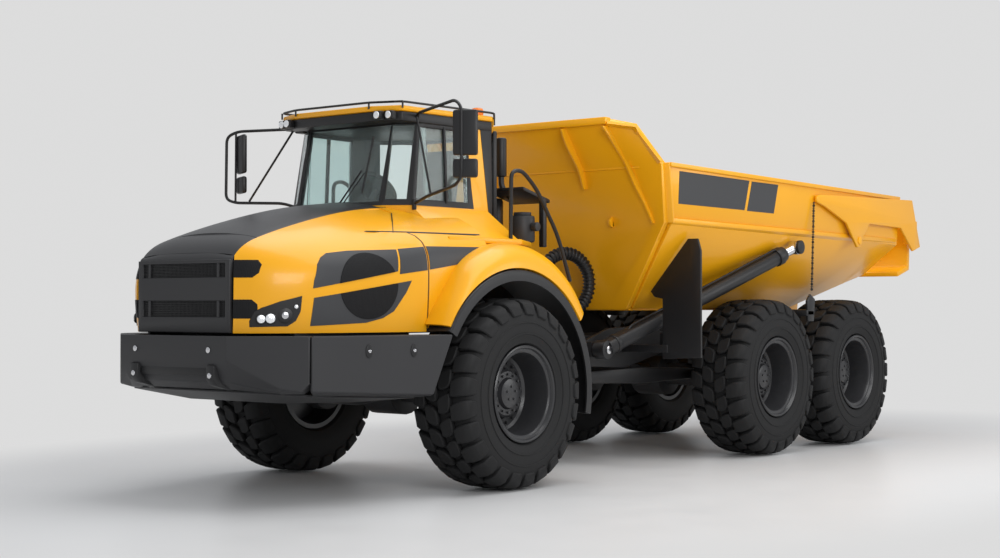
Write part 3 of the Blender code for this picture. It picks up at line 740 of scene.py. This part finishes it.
both_sides(cowl_backing, "cowl_backing", YELLOW, "front_frame", "yellow_paint")
both_sides(hood_skirt, "hood_skirt", BLACK, "front_frame", "black_steel")
both_sides(seam_lines, "panel_seams", BLACK, "front_frame", "black_steel")
both_sides(lambda: inlay(skin, [at(1.0, y, z) for y, z in HOOD_SEAM], (0.6, 0, 0), 0.0015), "hood_seam", BLACK,
           "hood", "black_steel")
nose = cut(hood_top(0, 5, 0.0), [at(-0.8, -2.352, 1.9), at(0.8, -2.352, 1.9), at(0.8, -1.9, 1.9), at(-0.8, -1.9, 1.9)],
           (0, 0, 1))
main = cut(hood_top(0, 9, 0.012), [at(-0.8, -2.345, 1.9), at(0.8, -2.345, 1.9), at(0.8, -3.0, 1.9), at(-0.8, -3.0, 1.9)],
           (0, 0, 1))
brow = panel([[at(x, y, z + (0.028 if abs(x) < 0.5 else 0.0) * keep) for x, _ in TOP_SHAPE]
              for y, z, keep in ((-2.640, 2.085, 0.0), (-2.632, 2.118, 0.3), (-2.598, 2.136, 1.0))], 0.02, levels=1)
dress(joined([nose, main, brow]), "hood_top_panel", HOOD_BLACK, "hood", "charcoal_panel", "hood_top")
scuttle = panel([[at(x, y, z + 0.055 * (1 - abs(x) / TOP_EDGE)) for x, _ in TOP_SHAPE]
                 for y, z in ((-0.812, 2.615), (-0.74, 2.622), (-0.66, 2.63))], 0.03)
dress(scuttle, "windscreen_scuttle", HOOD_BLACK, "front_frame", "charcoal_panel")

# %% [markdown]
# The screens of the hood, the grille's side cups and the blank dark panels are inlays in
# the same skin, each standing a few millimetres proud of it.

# %% Screens and dark panels on the hood
def side_inlay(outline, proud, start=1.0):
    return inlay(skin, [at(start, y, z) for y, z in outline], (0.6, 0, 0), proud)


def mesh_finish(name, scale):
    """Dark perforated sheet: a regular cell pattern sinks into the surface."""
    material = finish(name, (0.008, 0.008, 0.009), 0.6, bump=0.02, specular=0.2)
    nodes, links = material.node_tree.nodes, material.node_tree.links
    cells = nodes.new("ShaderNodeTexVoronoi")
    cells.feature = "DISTANCE_TO_EDGE"
    cells.inputs["Scale"].default_value = scale
    cells.inputs["Randomness"].default_value = 0.0
    where = nodes.new("ShaderNodeTexCoord")
    relief = nodes.new("ShaderNodeBump")
    relief.invert = True
    relief.inputs["Strength"].default_value = 0.9
    relief.inputs["Distance"].default_value = 0.004
    links.new(where.outputs["Object"], cells.inputs["Vector"])
    links.new(cells.outputs["Distance"], relief.inputs["Height"])
    links.new(relief.outputs["Normal"], nodes["Principled BSDF"].inputs["Normal"])
    return material


MESH = mesh_finish("perforated_screen", 70)
SCREEN_UPPER = ((-2.13, 1.855), (-2.12, 1.92), (-2.07, 2.06), (-2.02, 2.12), (-1.95, 2.16), (-1.75, 2.185),
                (-1.275, 2.205), (-1.305, 2.01))
SCREEN_LOWER = ((-2.12, 1.775), (-1.16, 1.93), (-1.22, 1.82), (-1.34, 1.66), (-1.45, 1.60), (-1.62, 1.56),
                (-2.14, 1.535))
HOOD_DECAL = ((-1.255, 2.210), (-0.985, 2.235), (-0.985, 2.025), (-1.285, 1.985))
FENDER_DECAL = ((-0.955, 2.240), (-0.22, 2.25), (-0.42, 2.155), (-0.60, 2.08), (-0.955, 2.03))
SCREEN_CENTRE = (-1.60, 1.88)
SCREEN_RADIUS = 0.29


def round_outline(steps=48):
    (y, z), turn = SCREEN_CENTRE, 2 * math.pi / steps
    return [at(1.0, y + SCREEN_RADIUS * math.cos(turn * i), z + SCREEN_RADIUS * math.sin(turn * i))
            for i in range(steps)]


def round_screen():
    halves = [cut(side_inlay(outline, 0.010), round_outline(), (0.6, 0, 0), "INTERSECT")
              for outline in (SCREEN_UPPER, SCREEN_LOWER)]
    return joined(halves)


def grille_cups():
    cups = []
    for low, high in ((1.60, 1.76), (1.945, 2.095)):
        outline = [at(x, -2.90, z) for x, z in ((0.602, low), (0.765, low), (0.80, low + 0.04), (0.80, high - 0.04),
                                                (0.765, high), (0.602, high))]
        cups.append(inlay(skin, outline, (0, 0.50, 0), 0.004))
    return joined(cups)


both_sides(lambda: joined([side_inlay(outline, 0.004) for outline in (SCREEN_UPPER, SCREEN_LOWER, HOOD_DECAL)]),
           "hood_screen_panel", DECAL, "hood", "charcoal_panel")
both_sides(lambda: side_inlay(FENDER_DECAL, 0.004), "fender_dark_panel", DECAL, "front_frame", "charcoal_panel")
both_sides(round_screen, "hood_round_screen", MESH, "hood", "charcoal_panel")
both_sides(grille_cups, "grille_cup", MESH, "hood", "charcoal_panel")

# %% [markdown]
# Each headlight is a dark housing let into the hood's corner: two bright round lamps at
# its front, a dark-rimmed lamp behind them and a small marker above.

# %% Headlights
HOUSING = ((-2.555, 1.528), (-2.56, 1.58), (-2.54, 1.655), (-2.50, 1.690), (-2.38, 1.745), (-2.222, 1.790),
           (-2.228, 1.66), (-2.26, 1.58), (-2.32, 1.535))
CORNER_START, CORNER_END = Vector((0.795, -2.53, 0)), Vector((1.03, -2.22, 0))
CORNER_OUT = Vector((0.80, -0.60, 0.0))


def on_corner(along, height, out=0.0):
    spot = CORNER_START.lerp(CORNER_END, along) + CORNER_OUT * out
    return at(spot.x, spot.y, height)


def headlight_lamps():
    bright = [disc(on_corner(along, height, 0.0), CORNER_OUT, radius, 0.022, 0.008)
              for along, height, radius in ((0.10, 1.595, 0.036), (0.30, 1.60, 0.042), (0.86, 1.70, 0.018))]
    return joined(bright)


def headlight_bezels():
    rings = [disc(on_corner(along, height, -0.004), CORNER_OUT, radius, 0.018, 0.006)
             for along, height, radius in ((0.10, 1.595, 0.044), (0.30, 1.60, 0.050), (0.62, 1.625, 0.066))]
    return joined([side_inlay(HOUSING, 0.006, 0.68), *rings])


both_sides(headlight_bezels, "headlight_housing", BLACK, "hood", "charcoal_panel")
both_sides(headlight_lamps, "headlight_lamp", LAMP, "hood", "lamp_lens", "headlight_{}")
both_sides(lambda: disc(on_corner(0.62, 1.625, 0.010), CORNER_OUT, 0.030, 0.010, 0.004), "headlight_low", CHROME,
           "hood", "lamp_lens")

# %% [markdown]
# The radiator grille is a grey frame with two wide mesh openings and thin bars. It folds
# down on its lower hinge, so all of it rides on its own body.

# %% Grille
low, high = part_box("grille")
front_face = low.y
eased("grille", CHARCOAL, 0.008)
meshes = []
for bottom, top_z in ((1.61, 1.75), (1.95, 2.07)):
    for i in range(9):
        height = bottom + (top_z - bottom) * (i + 0.5) / 9
        meshes.append(block((low.x + 0.06, front_face + 0.012, height - 0.002),
                            (high.x - 0.06, front_face + 0.018, height + 0.002), 0.001))
    for i in range(61):
        x = low.x + 0.07 + (high.x - low.x - 0.14) * i / 60
        meshes.append(block((x - 0.002, front_face + 0.014, bottom), (x + 0.002, front_face + 0.020, top_z), 0.0005))
dress(joined(meshes), "grille_mesh", BLACK, "grille_panel", "charcoal_panel")
posts = [block(at(x - 0.014, 0, bottom), at(x + 0.014, 0.016, top_z), 0.003)
         for bottom, top_z in ((1.61, 1.75), (1.95, 2.07)) for x in (-0.45, 0.45)]
posts = joined(posts)
posts.data.transform(Matrix.Translation((0, front_face - FRONT_AXLE + 0.002, 0)))
dress(posts, "grille_posts", CHARCOAL, "grille_panel", "charcoal_panel")

# %% [markdown]
# The bumper is folded sheet: a band round the nose with its lower half tucked under, and
# deeper side panels that spread out to the wheel arches. Towing brackets hang beneath.

# %% Bumper and belly
NOSE_ROWS = (                 # corner points from the shelf down: four columns, middle to end
    ((0.64, -2.66, 1.450), (0.96, -2.40, 1.450), (1.09, -2.30, 1.450), (1.15, -2.20, 1.450)),
    ((0.69, -2.78, 1.455), (1.05, -2.497, 1.455), (1.19, -2.387, 1.455), (1.246, -2.345, 1.455)),
    ((0.69, -2.78, 1.250), (1.05, -2.497, 1.010), (1.19, -2.387, 0.990), (1.246, -2.345, 1.060)),
    ((0.66, -2.70, 1.060), (0.98, -2.420, 0.970), (1.13, -2.300, 0.965), (1.19, -2.260, 1.040)),
    ((0.62, -2.58, 0.990), (0.92, -2.350, 0.955), (1.06, -2.220, 0.955), (1.12, -2.190, 1.000)))
SIDE_ROWS = (
    ((1.13, -2.20, 1.450), (1.22, -0.97, 1.450)),
    ((1.252, -2.330, 1.455), (1.62, -0.95, 1.455)),
    ((1.252, -2.330, 0.985), (1.567, -1.15, 0.925)),
    ((1.17, -2.24, 0.950), (1.46, -1.20, 0.905)))
SIDE_ALONG = Vector((0.368, 1.380, 0)).normalized()
SIDE_OUT = Vector((SIDE_ALONG.y, -SIDE_ALONG.x, 0))


def bumper_side():
    piece = panel([[at(*point) for point in row] for row in SIDE_ROWS], 0.025, levels=0, offset=1.0)
    soften(piece, 0.012)
    smooth(piece)
    return piece


nose_grid = [[at(-x, y, z) for x, y, z in reversed(row)] + [at(*point) for point in row] for row in NOSE_ROWS]
nose_band = panel(nose_grid, 0.025, levels=0, offset=1.0)
soften(nose_band, 0.014, 3)
smooth(nose_band)
dress(nose_band, "bumper_nose", CHARCOAL, "front_frame", "charcoal_panel", "front_bumper")
both_sides(bumper_side, "bumper_side", CHARCOAL, "front_frame", "charcoal_panel")


def recess(y):
    centre = at(1.25 + 0.368 * (y + 2.34) / 1.39, y, 1.32)
    outline = [centre + SIDE_ALONG * 0.034 * math.cos(t) + Vector((0, 0, 0.060 * math.sin(t))) - SIDE_OUT * 0.01
               for t in (math.pi * i / 10 for i in range(20))]
    return plate(outline, SIDE_OUT * 0.018, 0.004)


def tow_bracket():
    outline = [at(0.45, y, z) for y, z in ((-2.785, 1.21), (-2.785, 1.09), (-2.74, 1.035), (-2.55, 0.985),
                                           (-2.40, 0.985), (-2.40, 1.06), (-2.60, 1.21))]
    return plate(outline, (0.10, 0, 0), 0.012)


both_sides(lambda: joined([recess(-1.79), recess(-1.35), tow_bracket()]), "bumper_fittings", BLACK,
           "front_frame", "black_steel")
slot = block(at(-0.44, -2.752, 1.115), at(0.44, -2.70, 1.185), 0.006)
dress(slot, "bumper_slot", BLACK, "front_frame", "black_steel")


def bumper_bright_parts():
    parts = [disc(at(0.48, -2.779, 1.335), (0, -1, 0), 0.026, 0.010),
             disc(at(0.50, -2.782, 1.12), (0, -1, 0), 0.024, 0.012)]
    for y in (-1.79, -1.35):
        centre = at(1.25 + 0.368 * (y + 2.34) / 1.39, y, 1.32)
        parts.append(disc(centre + SIDE_OUT * 0.006, SIDE_OUT, 0.015, 0.012))
    return joined(parts)


both_sides(bumper_bright_parts, "bumper_bright_part", CHROME, "front_frame", "lamp_lens")
BELLY_ROWS = (
    ((1.17, -2.24, 0.955), (0.60, -2.56, 0.985)),
    ((1.22, -1.95, 0.935), (0.60, -2.05, 0.870)),
    ((1.40, -1.22, 0.910), (0.60, -1.22, 0.840)))
belly = panel([[at(-row[0][0], *row[0][1:]), at(-row[1][0], *row[1][1:]), at(*row[1]), at(*row[0])]
               for row in BELLY_ROWS], 0.012, levels=0, offset=-1.0)
dress(belly, "belly_plate", CHARCOAL, "front_frame", "charcoal_panel")

# %% [markdown]
# A black flare rings each front wheel. Above it the yellow wing swells out from the
# fender's crease and runs back over the wheel, so its section changes with the angle.

# %% Fenders and deck
ARCH = 1.16
CREASE = ((147, 1.20), (139, 1.215), (130, 1.240), (115, 1.345), (99, 1.385), (90, 1.405), (75, 1.43),
          (60, 1.435), (45, 1.425), (35, 1.40))
WING_REACH = ((147, 1.335), (99, 1.335), (90, 1.22), (80, 1.02), (72, 0.95), (35, 0.95))


def read_table(table, angle):
    for (a, first), (b, second) in zip(table, table[1:]):
        if b <= angle <= a:
            return first + (second - first) * (a - angle) / (a - b)
    return table[-1][1]


def round_hub(x, radius, angle):
    return at(x, radius * math.cos(math.radians(angle)), HUB_HEIGHT + radius * math.sin(math.radians(angle)))


def flare():
    rows = [[round_hub(x, radius, 149 - 161 * i / 30) for x, radius in (
        (1.03, 1.125), (1.40, 1.145), (1.585, 1.158), (1.612, 1.150), (1.620, 1.130), (1.620, 1.05))]
        for i in range(31)]
    return panel(rows, 0.02, levels=1)


def wing():
    rows = []
    for i in range(24):
        angle = 147 - (147 - 35) * i / 23
        top, reach = read_table(CREASE, angle), read_table(WING_REACH, angle)
        swell = top - ARCH
        rows.append([round_hub(x, radius, angle) for x, radius in (
            (reach, top), (1.365, top), (1.45, top - 0.03 * swell), (1.535, top - 0.22 * swell),
            (1.590, ARCH + 0.45 * swell), (1.610, ARCH + 0.01))])
    return panel(rows, 0.02, levels=1)


both_sides(flare, "fender_flare", BLACK, "front_frame", "black_steel", "fender_{}")
both_sides(wing, "wing_panel", YELLOW, "front_frame", "yellow_paint")
half_deck = [(1.27, -0.60), (1.30, 0.43), (0.93, 1.05)]
deck = plate([at(x, y, 2.29) for x, y in half_deck] + [at(-x, y, 2.29) for x, y in reversed(half_deck)],
             (0, 0, 0.055), 0.015)
dress(deck, "deck_floor", YELLOW, "front_frame", "yellow_paint", "cab_deck")
bulkhead = block(at(-0.90, 1.00, 1.62), at(0.90, 1.04, 2.29), 0.01)
dress(bulkhead, "deck_bulkhead", BLACK, "front_frame", "black_steel")

# %% [markdown]
# The cab shell is yellow below the windows and at its rear pillars. A black surround is
# inlaid over the front part above the glass line, and the front corners get small
# quarter windows of their own.

# %% Cab
shell = eased("cab_frame", YELLOW, 0.01)
PILLAR_FRONT, PILLAR_DOOR = Vector((0.565, -0.70, 0)), Vector((0.785, -0.54, 0))
CORNER_LEAN = Vector((-0.012, 0.125, 0))       # how far a front corner leans over the window's height
CORNER_ALONG = (PILLAR_DOOR - PILLAR_FRONT).normalized()
CORNER_FACE = Vector((CORNER_ALONG.y, -CORNER_ALONG.x, 0))


def corner_strip(start, end, near, far, low, high):
    spots = [PILLAR_FRONT + CORNER_ALONG * along + CORNER_FACE * out
             for along, out in ((start, near), (end, near), (end, far), (start, far))]
    middle = CORNER_LEAN * 0.5
    return [at(*(spot - middle).xy, low) for spot in spots], CORNER_LEAN + Vector((0, 0, high - low))


for sign in (1, -1):
    outline, push = corner_strip(0.03, 0.235, -0.20, 0.15, 2.70, 3.40)
    cut(shell, [Vector((p.x * sign, p.y, p.z)) for p in outline], Vector((push.x * sign, push.y, push.z)))
cut(shell, [at(x, -1.0, z) for x, z in ((-0.53, 2.68), (0.53, 2.68), (0.535, 3.41), (-0.535, 3.41))], (0, 0.7, 0))
WINDOW_FRONT = ((-0.36, 2.70), (-0.535, 2.70), (-0.440, 3.385), (-0.36, 3.385))
for x in (0.62, -1.02):
    cut(shell, [at(x, y, z) for y, z in WINDOW_FRONT], (0.4, 0, 0))
shell.data.materials.append(CHARCOAL)
for face in shell.data.polygons:
    inward = at(0, 0.05, face.center.z) - face.center
    if face.normal.dot(inward) > 0 or face.normal.z < -0.7:
        face.material_index = 1
rear_surround = inlay(shell, [at(x, y, 2.42) for x, y in ((-1.3, 0.53), (1.3, 0.53), (1.3, 0.86), (-1.3, 0.86))],
                      (0, -0.14, 1.05), 0.004)
dress(rear_surround, "door_surround", BLACK, "front_frame", "black_steel")
surround = inlay(shell, [at(x, y, 2.645) for x, y in ((-1.1, -1.1), (1.1, -1.1), (1.1, 0.285), (-1.1, 0.285))],
                 (0, -0.095, 0.85), 0.004)
dress(surround, "cab_black_surround", BLACK, "front_frame", "black_steel")
screen = plate([at(-0.535, -0.728, 2.672), at(0.535, -0.728, 2.672), at(0.540, -0.563, 3.415), at(-0.540, -0.563, 3.415)],
               (0, 0.010, 0), 0)
dress(screen, "windscreen_glass", GLASS, "front_frame", SLOT_OF["windscreen"], "windscreen")


def quarter_glass():
    outline, push = corner_strip(0.025, 0.24, -0.035, -0.025, 2.69, 3.41)
    return plate(outline, push, 0)


def window_corner():
    pane = [at(0.80 - 0.045 * (z - 2.70), y, z) for y, z in WINDOW_FRONT]
    return plate(pane, (-0.008, 0, 0), 0)


both_sides(quarter_glass, "quarter_glass", GLASS, "front_frame", SLOT_OF["windscreen"])
both_sides(window_corner, "window_corner", GLASS, "front_frame", SLOT_OF["windscreen"])
both_sides(lambda: plate([at(x, y, 2.68) for x, y in ((0.785, -0.125), (0.82, -0.125), (0.82, -0.095), (0.785, -0.095))],
                         (-0.035, 0, 0.73), 0.004), "window_divider", BLACK,
           "front_frame", "black_steel")


def roof_outline(inset, height):
    corners = [(0.485, -0.84), (0.80, -0.72), (0.84, 0.56), (0.50, 0.98)]
    corners += [(-x, y) for x, y in reversed(corners)]
    return [at(x * (1 - inset), y * (1 - inset), height) for x, y in corners]


roof = plate(roof_outline(0.0, 3.515), (0, 0, 0.055), 0.022)
dress(roof, "cab_roof_cap", YELLOW, "front_frame", "yellow_paint", "cab_roof")
visor = plate(roof_outline(0.02, 3.425), (0, 0, 0.09), 0.012)
dress(visor, "cab_visor", BLACK, "front_frame", "black_steel")
ring_points = roof_outline(-0.005, 3.60)
route = bend([*ring_points, ring_points[0], ring_points[1]], 0.07)
rail = tube(route, 0.011)
posts = [tube([point, point - Vector((0, 0, 0.06))], 0.009) for point in ring_points]
dress(joined([rail, *posts]), "roof_rail", BLACK, "front_frame", "black_steel")

lamp_faces, lamp_cases = [], []
for x, y in ((0.60, -0.86), (0.71, -0.82), (-0.60, -0.86), (-0.71, -0.82)):
    lamp_cases.append(block(at(x - 0.045, y, 3.435), at(x + 0.045, y + 0.07, 3.515), 0.012))
    lamp_faces.append(disc(at(x, y + 0.002, 3.475), (0, -1, 0), 0.034, 0.010, 0.003))
dress(joined(lamp_cases), "work_lamp_cases", BLACK, "front_frame", "black_steel")
dress(joined(lamp_faces), "work_lamps", LAMP, "front_frame", "lamp_lens")
dress(disc(at(0.70, 0.48, 3.57), (0, 0, 1), 0.060, 0.085, 0.025), "beacon", AMBER, "front_frame", "lamp_lens")

wiper = joined([tube([at(0.02, -0.765, 2.67), at(0.30, -0.745, 2.98)], 0.008),
                tube([at(0.07, -0.765, 2.67), at(0.34, -0.745, 2.96)], 0.006),
                tube([at(0.31, -0.752, 2.76), at(0.38, -0.665, 3.30)], 0.011)])
dress(wiper, "windscreen_wiper", BLACK, "front_frame", "black_steel")

clear()
bpy.ops.mesh.primitive_torus_add(major_radius=0.20, minor_radius=0.016, major_segments=40, minor_segments=10,
                                 location=at(0, -0.205, 2.845), rotation=(-0.84, 0, 0))
wheel = bpy.context.object
settle(wheel)
smooth(wheel)
dress(wheel, "steering_wheel", BLACK, "front_frame", "charcoal_panel")

# %% [markdown]
# Mirrors hang on bent tubes from the front pillars: a tall mirror over a small wide one.
# The right-hand heads sit further in, on a second upright, to suit the driver's eye.

# %% Mirrors and handrails
def mirror_head(x, y, low, high, turn):
    head = block((-0.115, -0.028, low), (0.115, 0.028, high), 0.022)
    head.data.transform(Matrix.Translation(at(x, y, 0)) @ Matrix.Rotation(turn, 4, "Z"))
    return head


near_set = [tube([at(0.76, -0.46, 3.46), at(0.84, -0.56, 3.50), at(1.48, -0.76, 3.56), at(1.585, -0.80, 3.48), at(1.585, -0.80, 2.86),
                  at(1.50, -0.78, 2.79), at(1.06, -0.68, 2.71), at(0.83, -0.58, 2.66)], 0.015, 0.07),
            tube([at(0.87, -0.60, 3.46), at(1.12, -0.69, 2.73)], 0.011),
            mirror_head(1.60, -0.765, 3.05, 3.46, 0.47), mirror_head(1.60, -0.765, 2.85, 3.02, 0.47),
            disc(at(0.82, -0.58, 2.60), (0, 0, 1), 0.022, 0.10)]
dress(joined(near_set), "mirror_set_left", BLACK, "front_frame", "black_steel", "mirror_left")
far_set = [tube([at(-0.66, -0.52, 3.46), at(-1.41, -0.76, 3.46), at(-1.53, -0.80, 3.41), at(-1.54, -0.80, 2.78),
                 at(-1.42, -0.78, 2.74), at(-0.86, -0.66, 2.72), at(-0.70, -0.60, 2.67)], 0.015, 0.07),
           tube([at(-0.75, -0.62, 3.44), at(-1.26, -0.74, 2.75)], 0.011),
           tube([at(-1.425, -0.77, 3.45), at(-1.42, -0.78, 2.75)], 0.011),
           mirror_head(-1.335, -0.775, 3.03, 3.42, -0.47), mirror_head(-1.335, -0.775, 2.83, 3.00, -0.47),
           block(at(-0.76, -0.60, 3.41), at(-0.64, -0.48, 3.51), 0.015)]
dress(joined(far_set), "mirror_set_right", BLACK, "front_frame", "black_steel", "mirror_right")


def handrail():
    return tube([at(1.20, 0.38, 2.33), at(1.20, 0.39, 3.00), at(1.20, 0.55, 3.02), at(1.20, 0.78, 2.86),
                 at(1.21, 1.12, 2.40), at(1.24, 1.28, 1.95)], 0.020, 0.14)


both_sides(handrail, "handrail", BLACK, "front_frame", "black_steel")

# %% [markdown]
# Behind the cab stand a round tank under a sloping cover and a slim canister with its
# pipe. A ribbed hose loops over the hitch.

# %% Behind the cab
tank = joined([disc(at(0.76, 1.12, 2.345), (0, 0, 1), 0.125, 0.27, 0.02), disc(at(0.76, 1.12, 2.615), (0, 0, 1), 0.09, 0.035),
               disc(at(0.90, 1.12, 2.50), (1, 0, 0), 0.045, 0.06)])
dress(tank, "header_tank", CHARCOAL, "front_frame", "charcoal_panel")
cover = plate([at(0.42, 0.96, 2.86), at(0.90, 0.96, 2.86), at(0.90, 1.40, 2.75), at(0.42, 1.40, 2.75)], (0, 0, 0.04), 0.012)
post = block(at(0.86, 1.26, 2.30), at(0.92, 1.32, 2.80), 0.008)
canister = disc(at(0.50, 1.10, 3.02), (0, 0, 1), 0.055, 0.40, 0.02)
pipe = tube([at(0.50, 1.10, 3.05), at(0.50, 1.10, 2.92), at(0.58, 1.16, 2.80)], 0.030, 0.05)
cleaner = disc(at(0.30, 1.14, 2.45), (0, 0, 1), 0.15, 0.36, 0.03)
dress(joined([cover, post, canister, pipe, cleaner]), "intake_parts", BLACK, "front_frame", "black_steel")


def hose_loop():
    turns = [math.radians(200 - 290 * i / 36) for i in range(37)]
    route = [at(0.44 + 0.10 * math.cos(t), 2.27 + 0.30 * math.cos(t), 1.95 + 0.32 * math.sin(t)) for t in turns]
    rings = []
    for before, here, after in zip(route, route[1:], route[2:]):
        clear()
        bpy.ops.mesh.primitive_torus_add(major_radius=0.063, minor_radius=0.010, major_segments=20, minor_segments=6,
                                         location=here, rotation=(after - before).to_track_quat("Z", "Y").to_euler())
        settle(bpy.context.object)
        rings.append(bpy.context.object)
    return joined([tube(route, 0.060), *rings])


hose = hose_loop()
dress(hose, "ribbed_hose", BLACK, "rear_frame", "black_steel")

# %% [markdown]
# The dump body keeps its packed plates. Ribs, corner flanges and a turned-out rim stiffen
# it, blank dark panels mark its sides, and a lifting eye sits on the front wall.

# %% Dump body details
side_piece = bpy.data.objects["body_side_left_eased"]


def body_panels():
    first = ((2.60, 3.115), (4.02, 3.095), (3.955, 2.765), (2.62, 2.775))
    second = ((4.075, 3.09), (4.66, 3.085), (4.60, 2.755), (4.01, 2.76))
    return joined([inlay(side_piece, [at(1.2, y, z) for y, z in outline], (0.6, 0, 0), 0.003)
                   for outline in (first, second)])


both_sides(body_panels, "body_dark_panel", DECAL, "dump_body", "charcoal_panel")


def strip(points, across, thickness, offset=-1.0):
    """A flat bar that follows a route of points, as wide as the vector across."""
    return panel([[Vector(p), Vector(p) + Vector(across)] for p in points], thickness, levels=0, offset=offset)


def body_stiffeners():
    rim = plate([at(1.60, 2.40, 3.150), at(1.715, 2.40, 3.150), at(1.715, 2.40, 3.195), at(1.60, 2.40, 3.195)],
                (0, 5.35, -0.095), 0.006)
    sill = plate([at(1.575, 2.52, 2.515), at(1.665, 2.52, 2.575), at(1.668, 2.52, 2.62), at(1.60, 2.52, 2.62)],
                 (0, 5.20, -0.06), 0.006)
    flange = plate([at(1.565, 2.335, 3.19), at(1.70, 2.385, 3.19), at(1.672, 2.50, 2.57), at(1.54, 2.455, 2.57)],
                   (0, 0.03, 0.005), 0.005)
    route = [at(1.15, 1.93, 3.57), at(1.16, 2.03, 3.48), at(1.17, 2.15, 3.36), at(1.205, 2.27, 3.21),
             at(1.27, 2.345, 2.98), at(1.345, 2.42, 2.78), at(1.42, 2.47, 2.57)]
    corner = plate(route + [p + Vector((0.015, 0.08, 0)) for p in reversed(route)], (0.025, 0, 0), 0.004)
    cap = strip([at(1.16, 2.00, 3.60), at(1.40, 2.18, 3.56), at(1.42, 2.24, 3.48), at(1.62, 2.33, 3.19)],
                (0.05, -0.03, 0.02), 0.03)
    column = panel([[at(1.40, 2.525, 2.56), at(1.60, 2.455, 2.56)], [at(0.61, 2.83, 1.70), at(0.865, 2.82, 1.70)]],
                   0.045, levels=0, offset=1.0)
    return joined([rim, sill, flange, corner, cap, column])


both_sides(body_stiffeners, "body_stiffeners", YELLOW, "dump_body", "yellow_paint")


def front_rib(x):
    outline = [(1.965, 3.57), (1.99, 3.50), (2.06, 3.39), (2.17, 3.27), (2.25, 3.18), (2.31, 3.08), (2.36, 2.95),
               (2.44, 2.96), (2.41, 3.18), (2.08, 3.60)]
    return plate([at(x - 0.012, y - 0.02, z) for y, z in outline], (0.024, 0, 0), 0.004)


lip = plate([at(-1.19, 1.955, 3.665), at(1.19, 1.955, 3.665), at(1.19, 2.06, 3.665), at(-1.19, 2.06, 3.665)],
            (0, 0, -0.075), 0.01)
folds = [block(at(-1.36, 2.325, 3.145), at(1.36, 2.40, 3.165), 0.006),
         block(at(-1.42, 2.505, 2.585), at(1.42, 2.57, 2.605), 0.006)]
eye = joined([disc(at(0.878, 2.50, 2.60), (1, 0, 0), 0.055, 0.03), block(at(0.878, 2.49, 2.55), at(0.908, 2.56, 2.65), 0.005)])
wall = joined([lip, *folds, *(front_rib(x) for x in (-0.63, 0.63)), eye])
dress(wall, "front_wall_details", YELLOW, "dump_body", "yellow_paint")

# %% [markdown]
# A chain hangs from each tailgate arm down to its tensioner on the rear frame, and every
# arm turns on a round boss.

# %% Tailgate chain and hoist fittings
def arm_boss():
    return disc(at(1.733, 6.58, 2.50), (1, 0, 0), 0.05, 0.012)


both_sides(arm_boss, "gate_boss", YELLOW, "tailgate_assembly", "yellow_paint")


def chain():
    top, foot = at(1.705, 5.47, 2.93), at(1.705, 5.41, 1.88)
    links, count = [], 34
    for i in range(count):
        clear()
        place = top.lerp(foot, (i + 0.5) / count)
        bpy.ops.mesh.primitive_torus_add(major_radius=0.013, minor_radius=0.005, major_segments=12, minor_segments=6,
                                         location=place, rotation=(0, math.pi / 2 * (i % 2), math.pi / 2))
        link = bpy.context.object
        settle(link)
        links.append(link)
    return joined(links + [tube([top, foot], 0.006)])


both_sides(chain, "gate_chain", BLACK, "tailgate_assembly", "black_steel")


def tensioner():
    box = block(at(0.98, 5.27, 1.58), at(1.72, 5.45, 1.66), 0.02)
    arm = plate([at(1.69, y, z) for y, z in ((5.30, 1.52), (5.44, 1.52), (5.47, 1.78), (5.36, 1.84), (5.28, 1.76))],
                (0.03, 0, 0), 0.008)
    return joined([box, arm])


both_sides(tensioner, "gate_tensioner", BLACK, "rear_frame", "black_steel")


def frame_plates():
    side = plate([at(0.66, y, z) for y, z in ((2.16, 1.06), (2.16, 1.30), (2.70, 1.46), (3.70, 1.50), (3.70, 1.16),
                                              (3.00, 1.02))], (0.05, 0, 0), 0.012)
    arm = plate([at(0.60, y, z) for y, z in ((2.10, 0.88), (2.10, 1.00), (3.30, 1.02), (4.40, 0.98), (4.40, 0.86),
                                             (3.30, 0.84))], (0.14, 0, 0), 0.02)
    ties = [block(at(0.44, y, 1.12), at(0.68, y + 0.10, 1.24), 0.01) for y in (2.45, 3.40)]
    return joined([side, arm, *ties])


both_sides(frame_plates, "frame_side_plates", BLACK, "rear_frame", "black_steel")


def hoist_fittings():
    foot, mouth = at(0.95, 2.25, 1.24), at(1.592, 4.93, 2.30)
    axis = (mouth - foot).normalized()
    collar = disc(mouth - axis * 0.14, axis, 0.105, 0.10, 0.012)
    lower = disc(foot + axis * 0.16, axis, 0.10, 0.05, 0.008)
    lift = Vector((0.03, 0, 0.115))
    pipe = tube([foot + axis * 0.35 + lift * 0.6, foot + axis * 0.40 + lift, mouth - axis * 0.20 + lift,
                 mouth - axis * 0.10 + lift * 0.7], 0.012, 0.03)
    return joined([collar, lower, pipe])


def hoist_head():
    low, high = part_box("hoist_rod_left")
    return disc(Vector((high[0] - 0.012, high[1] - 0.075, high[2] - 0.075)), (1, 0, 0), 0.080, 0.045, 0.008)


both_sides(hoist_head, "hoist_head", BLACK, BODY_OF["hoist_rod_left"].replace("left", "{}"), "black_steel")
both_sides(hoist_fittings, "hoist_fittings", BLACK, "hoist_barrel_body_{}", "black_steel")
both_sides(lambda: disc(at(1.018, 2.25, 1.24), (1, 0, 0), 0.045, 0.02), "hoist_pin", CHROME, "rear_frame", SLOT_OF["hoist_rod_left"])
bpy.data.objects.remove(skin)
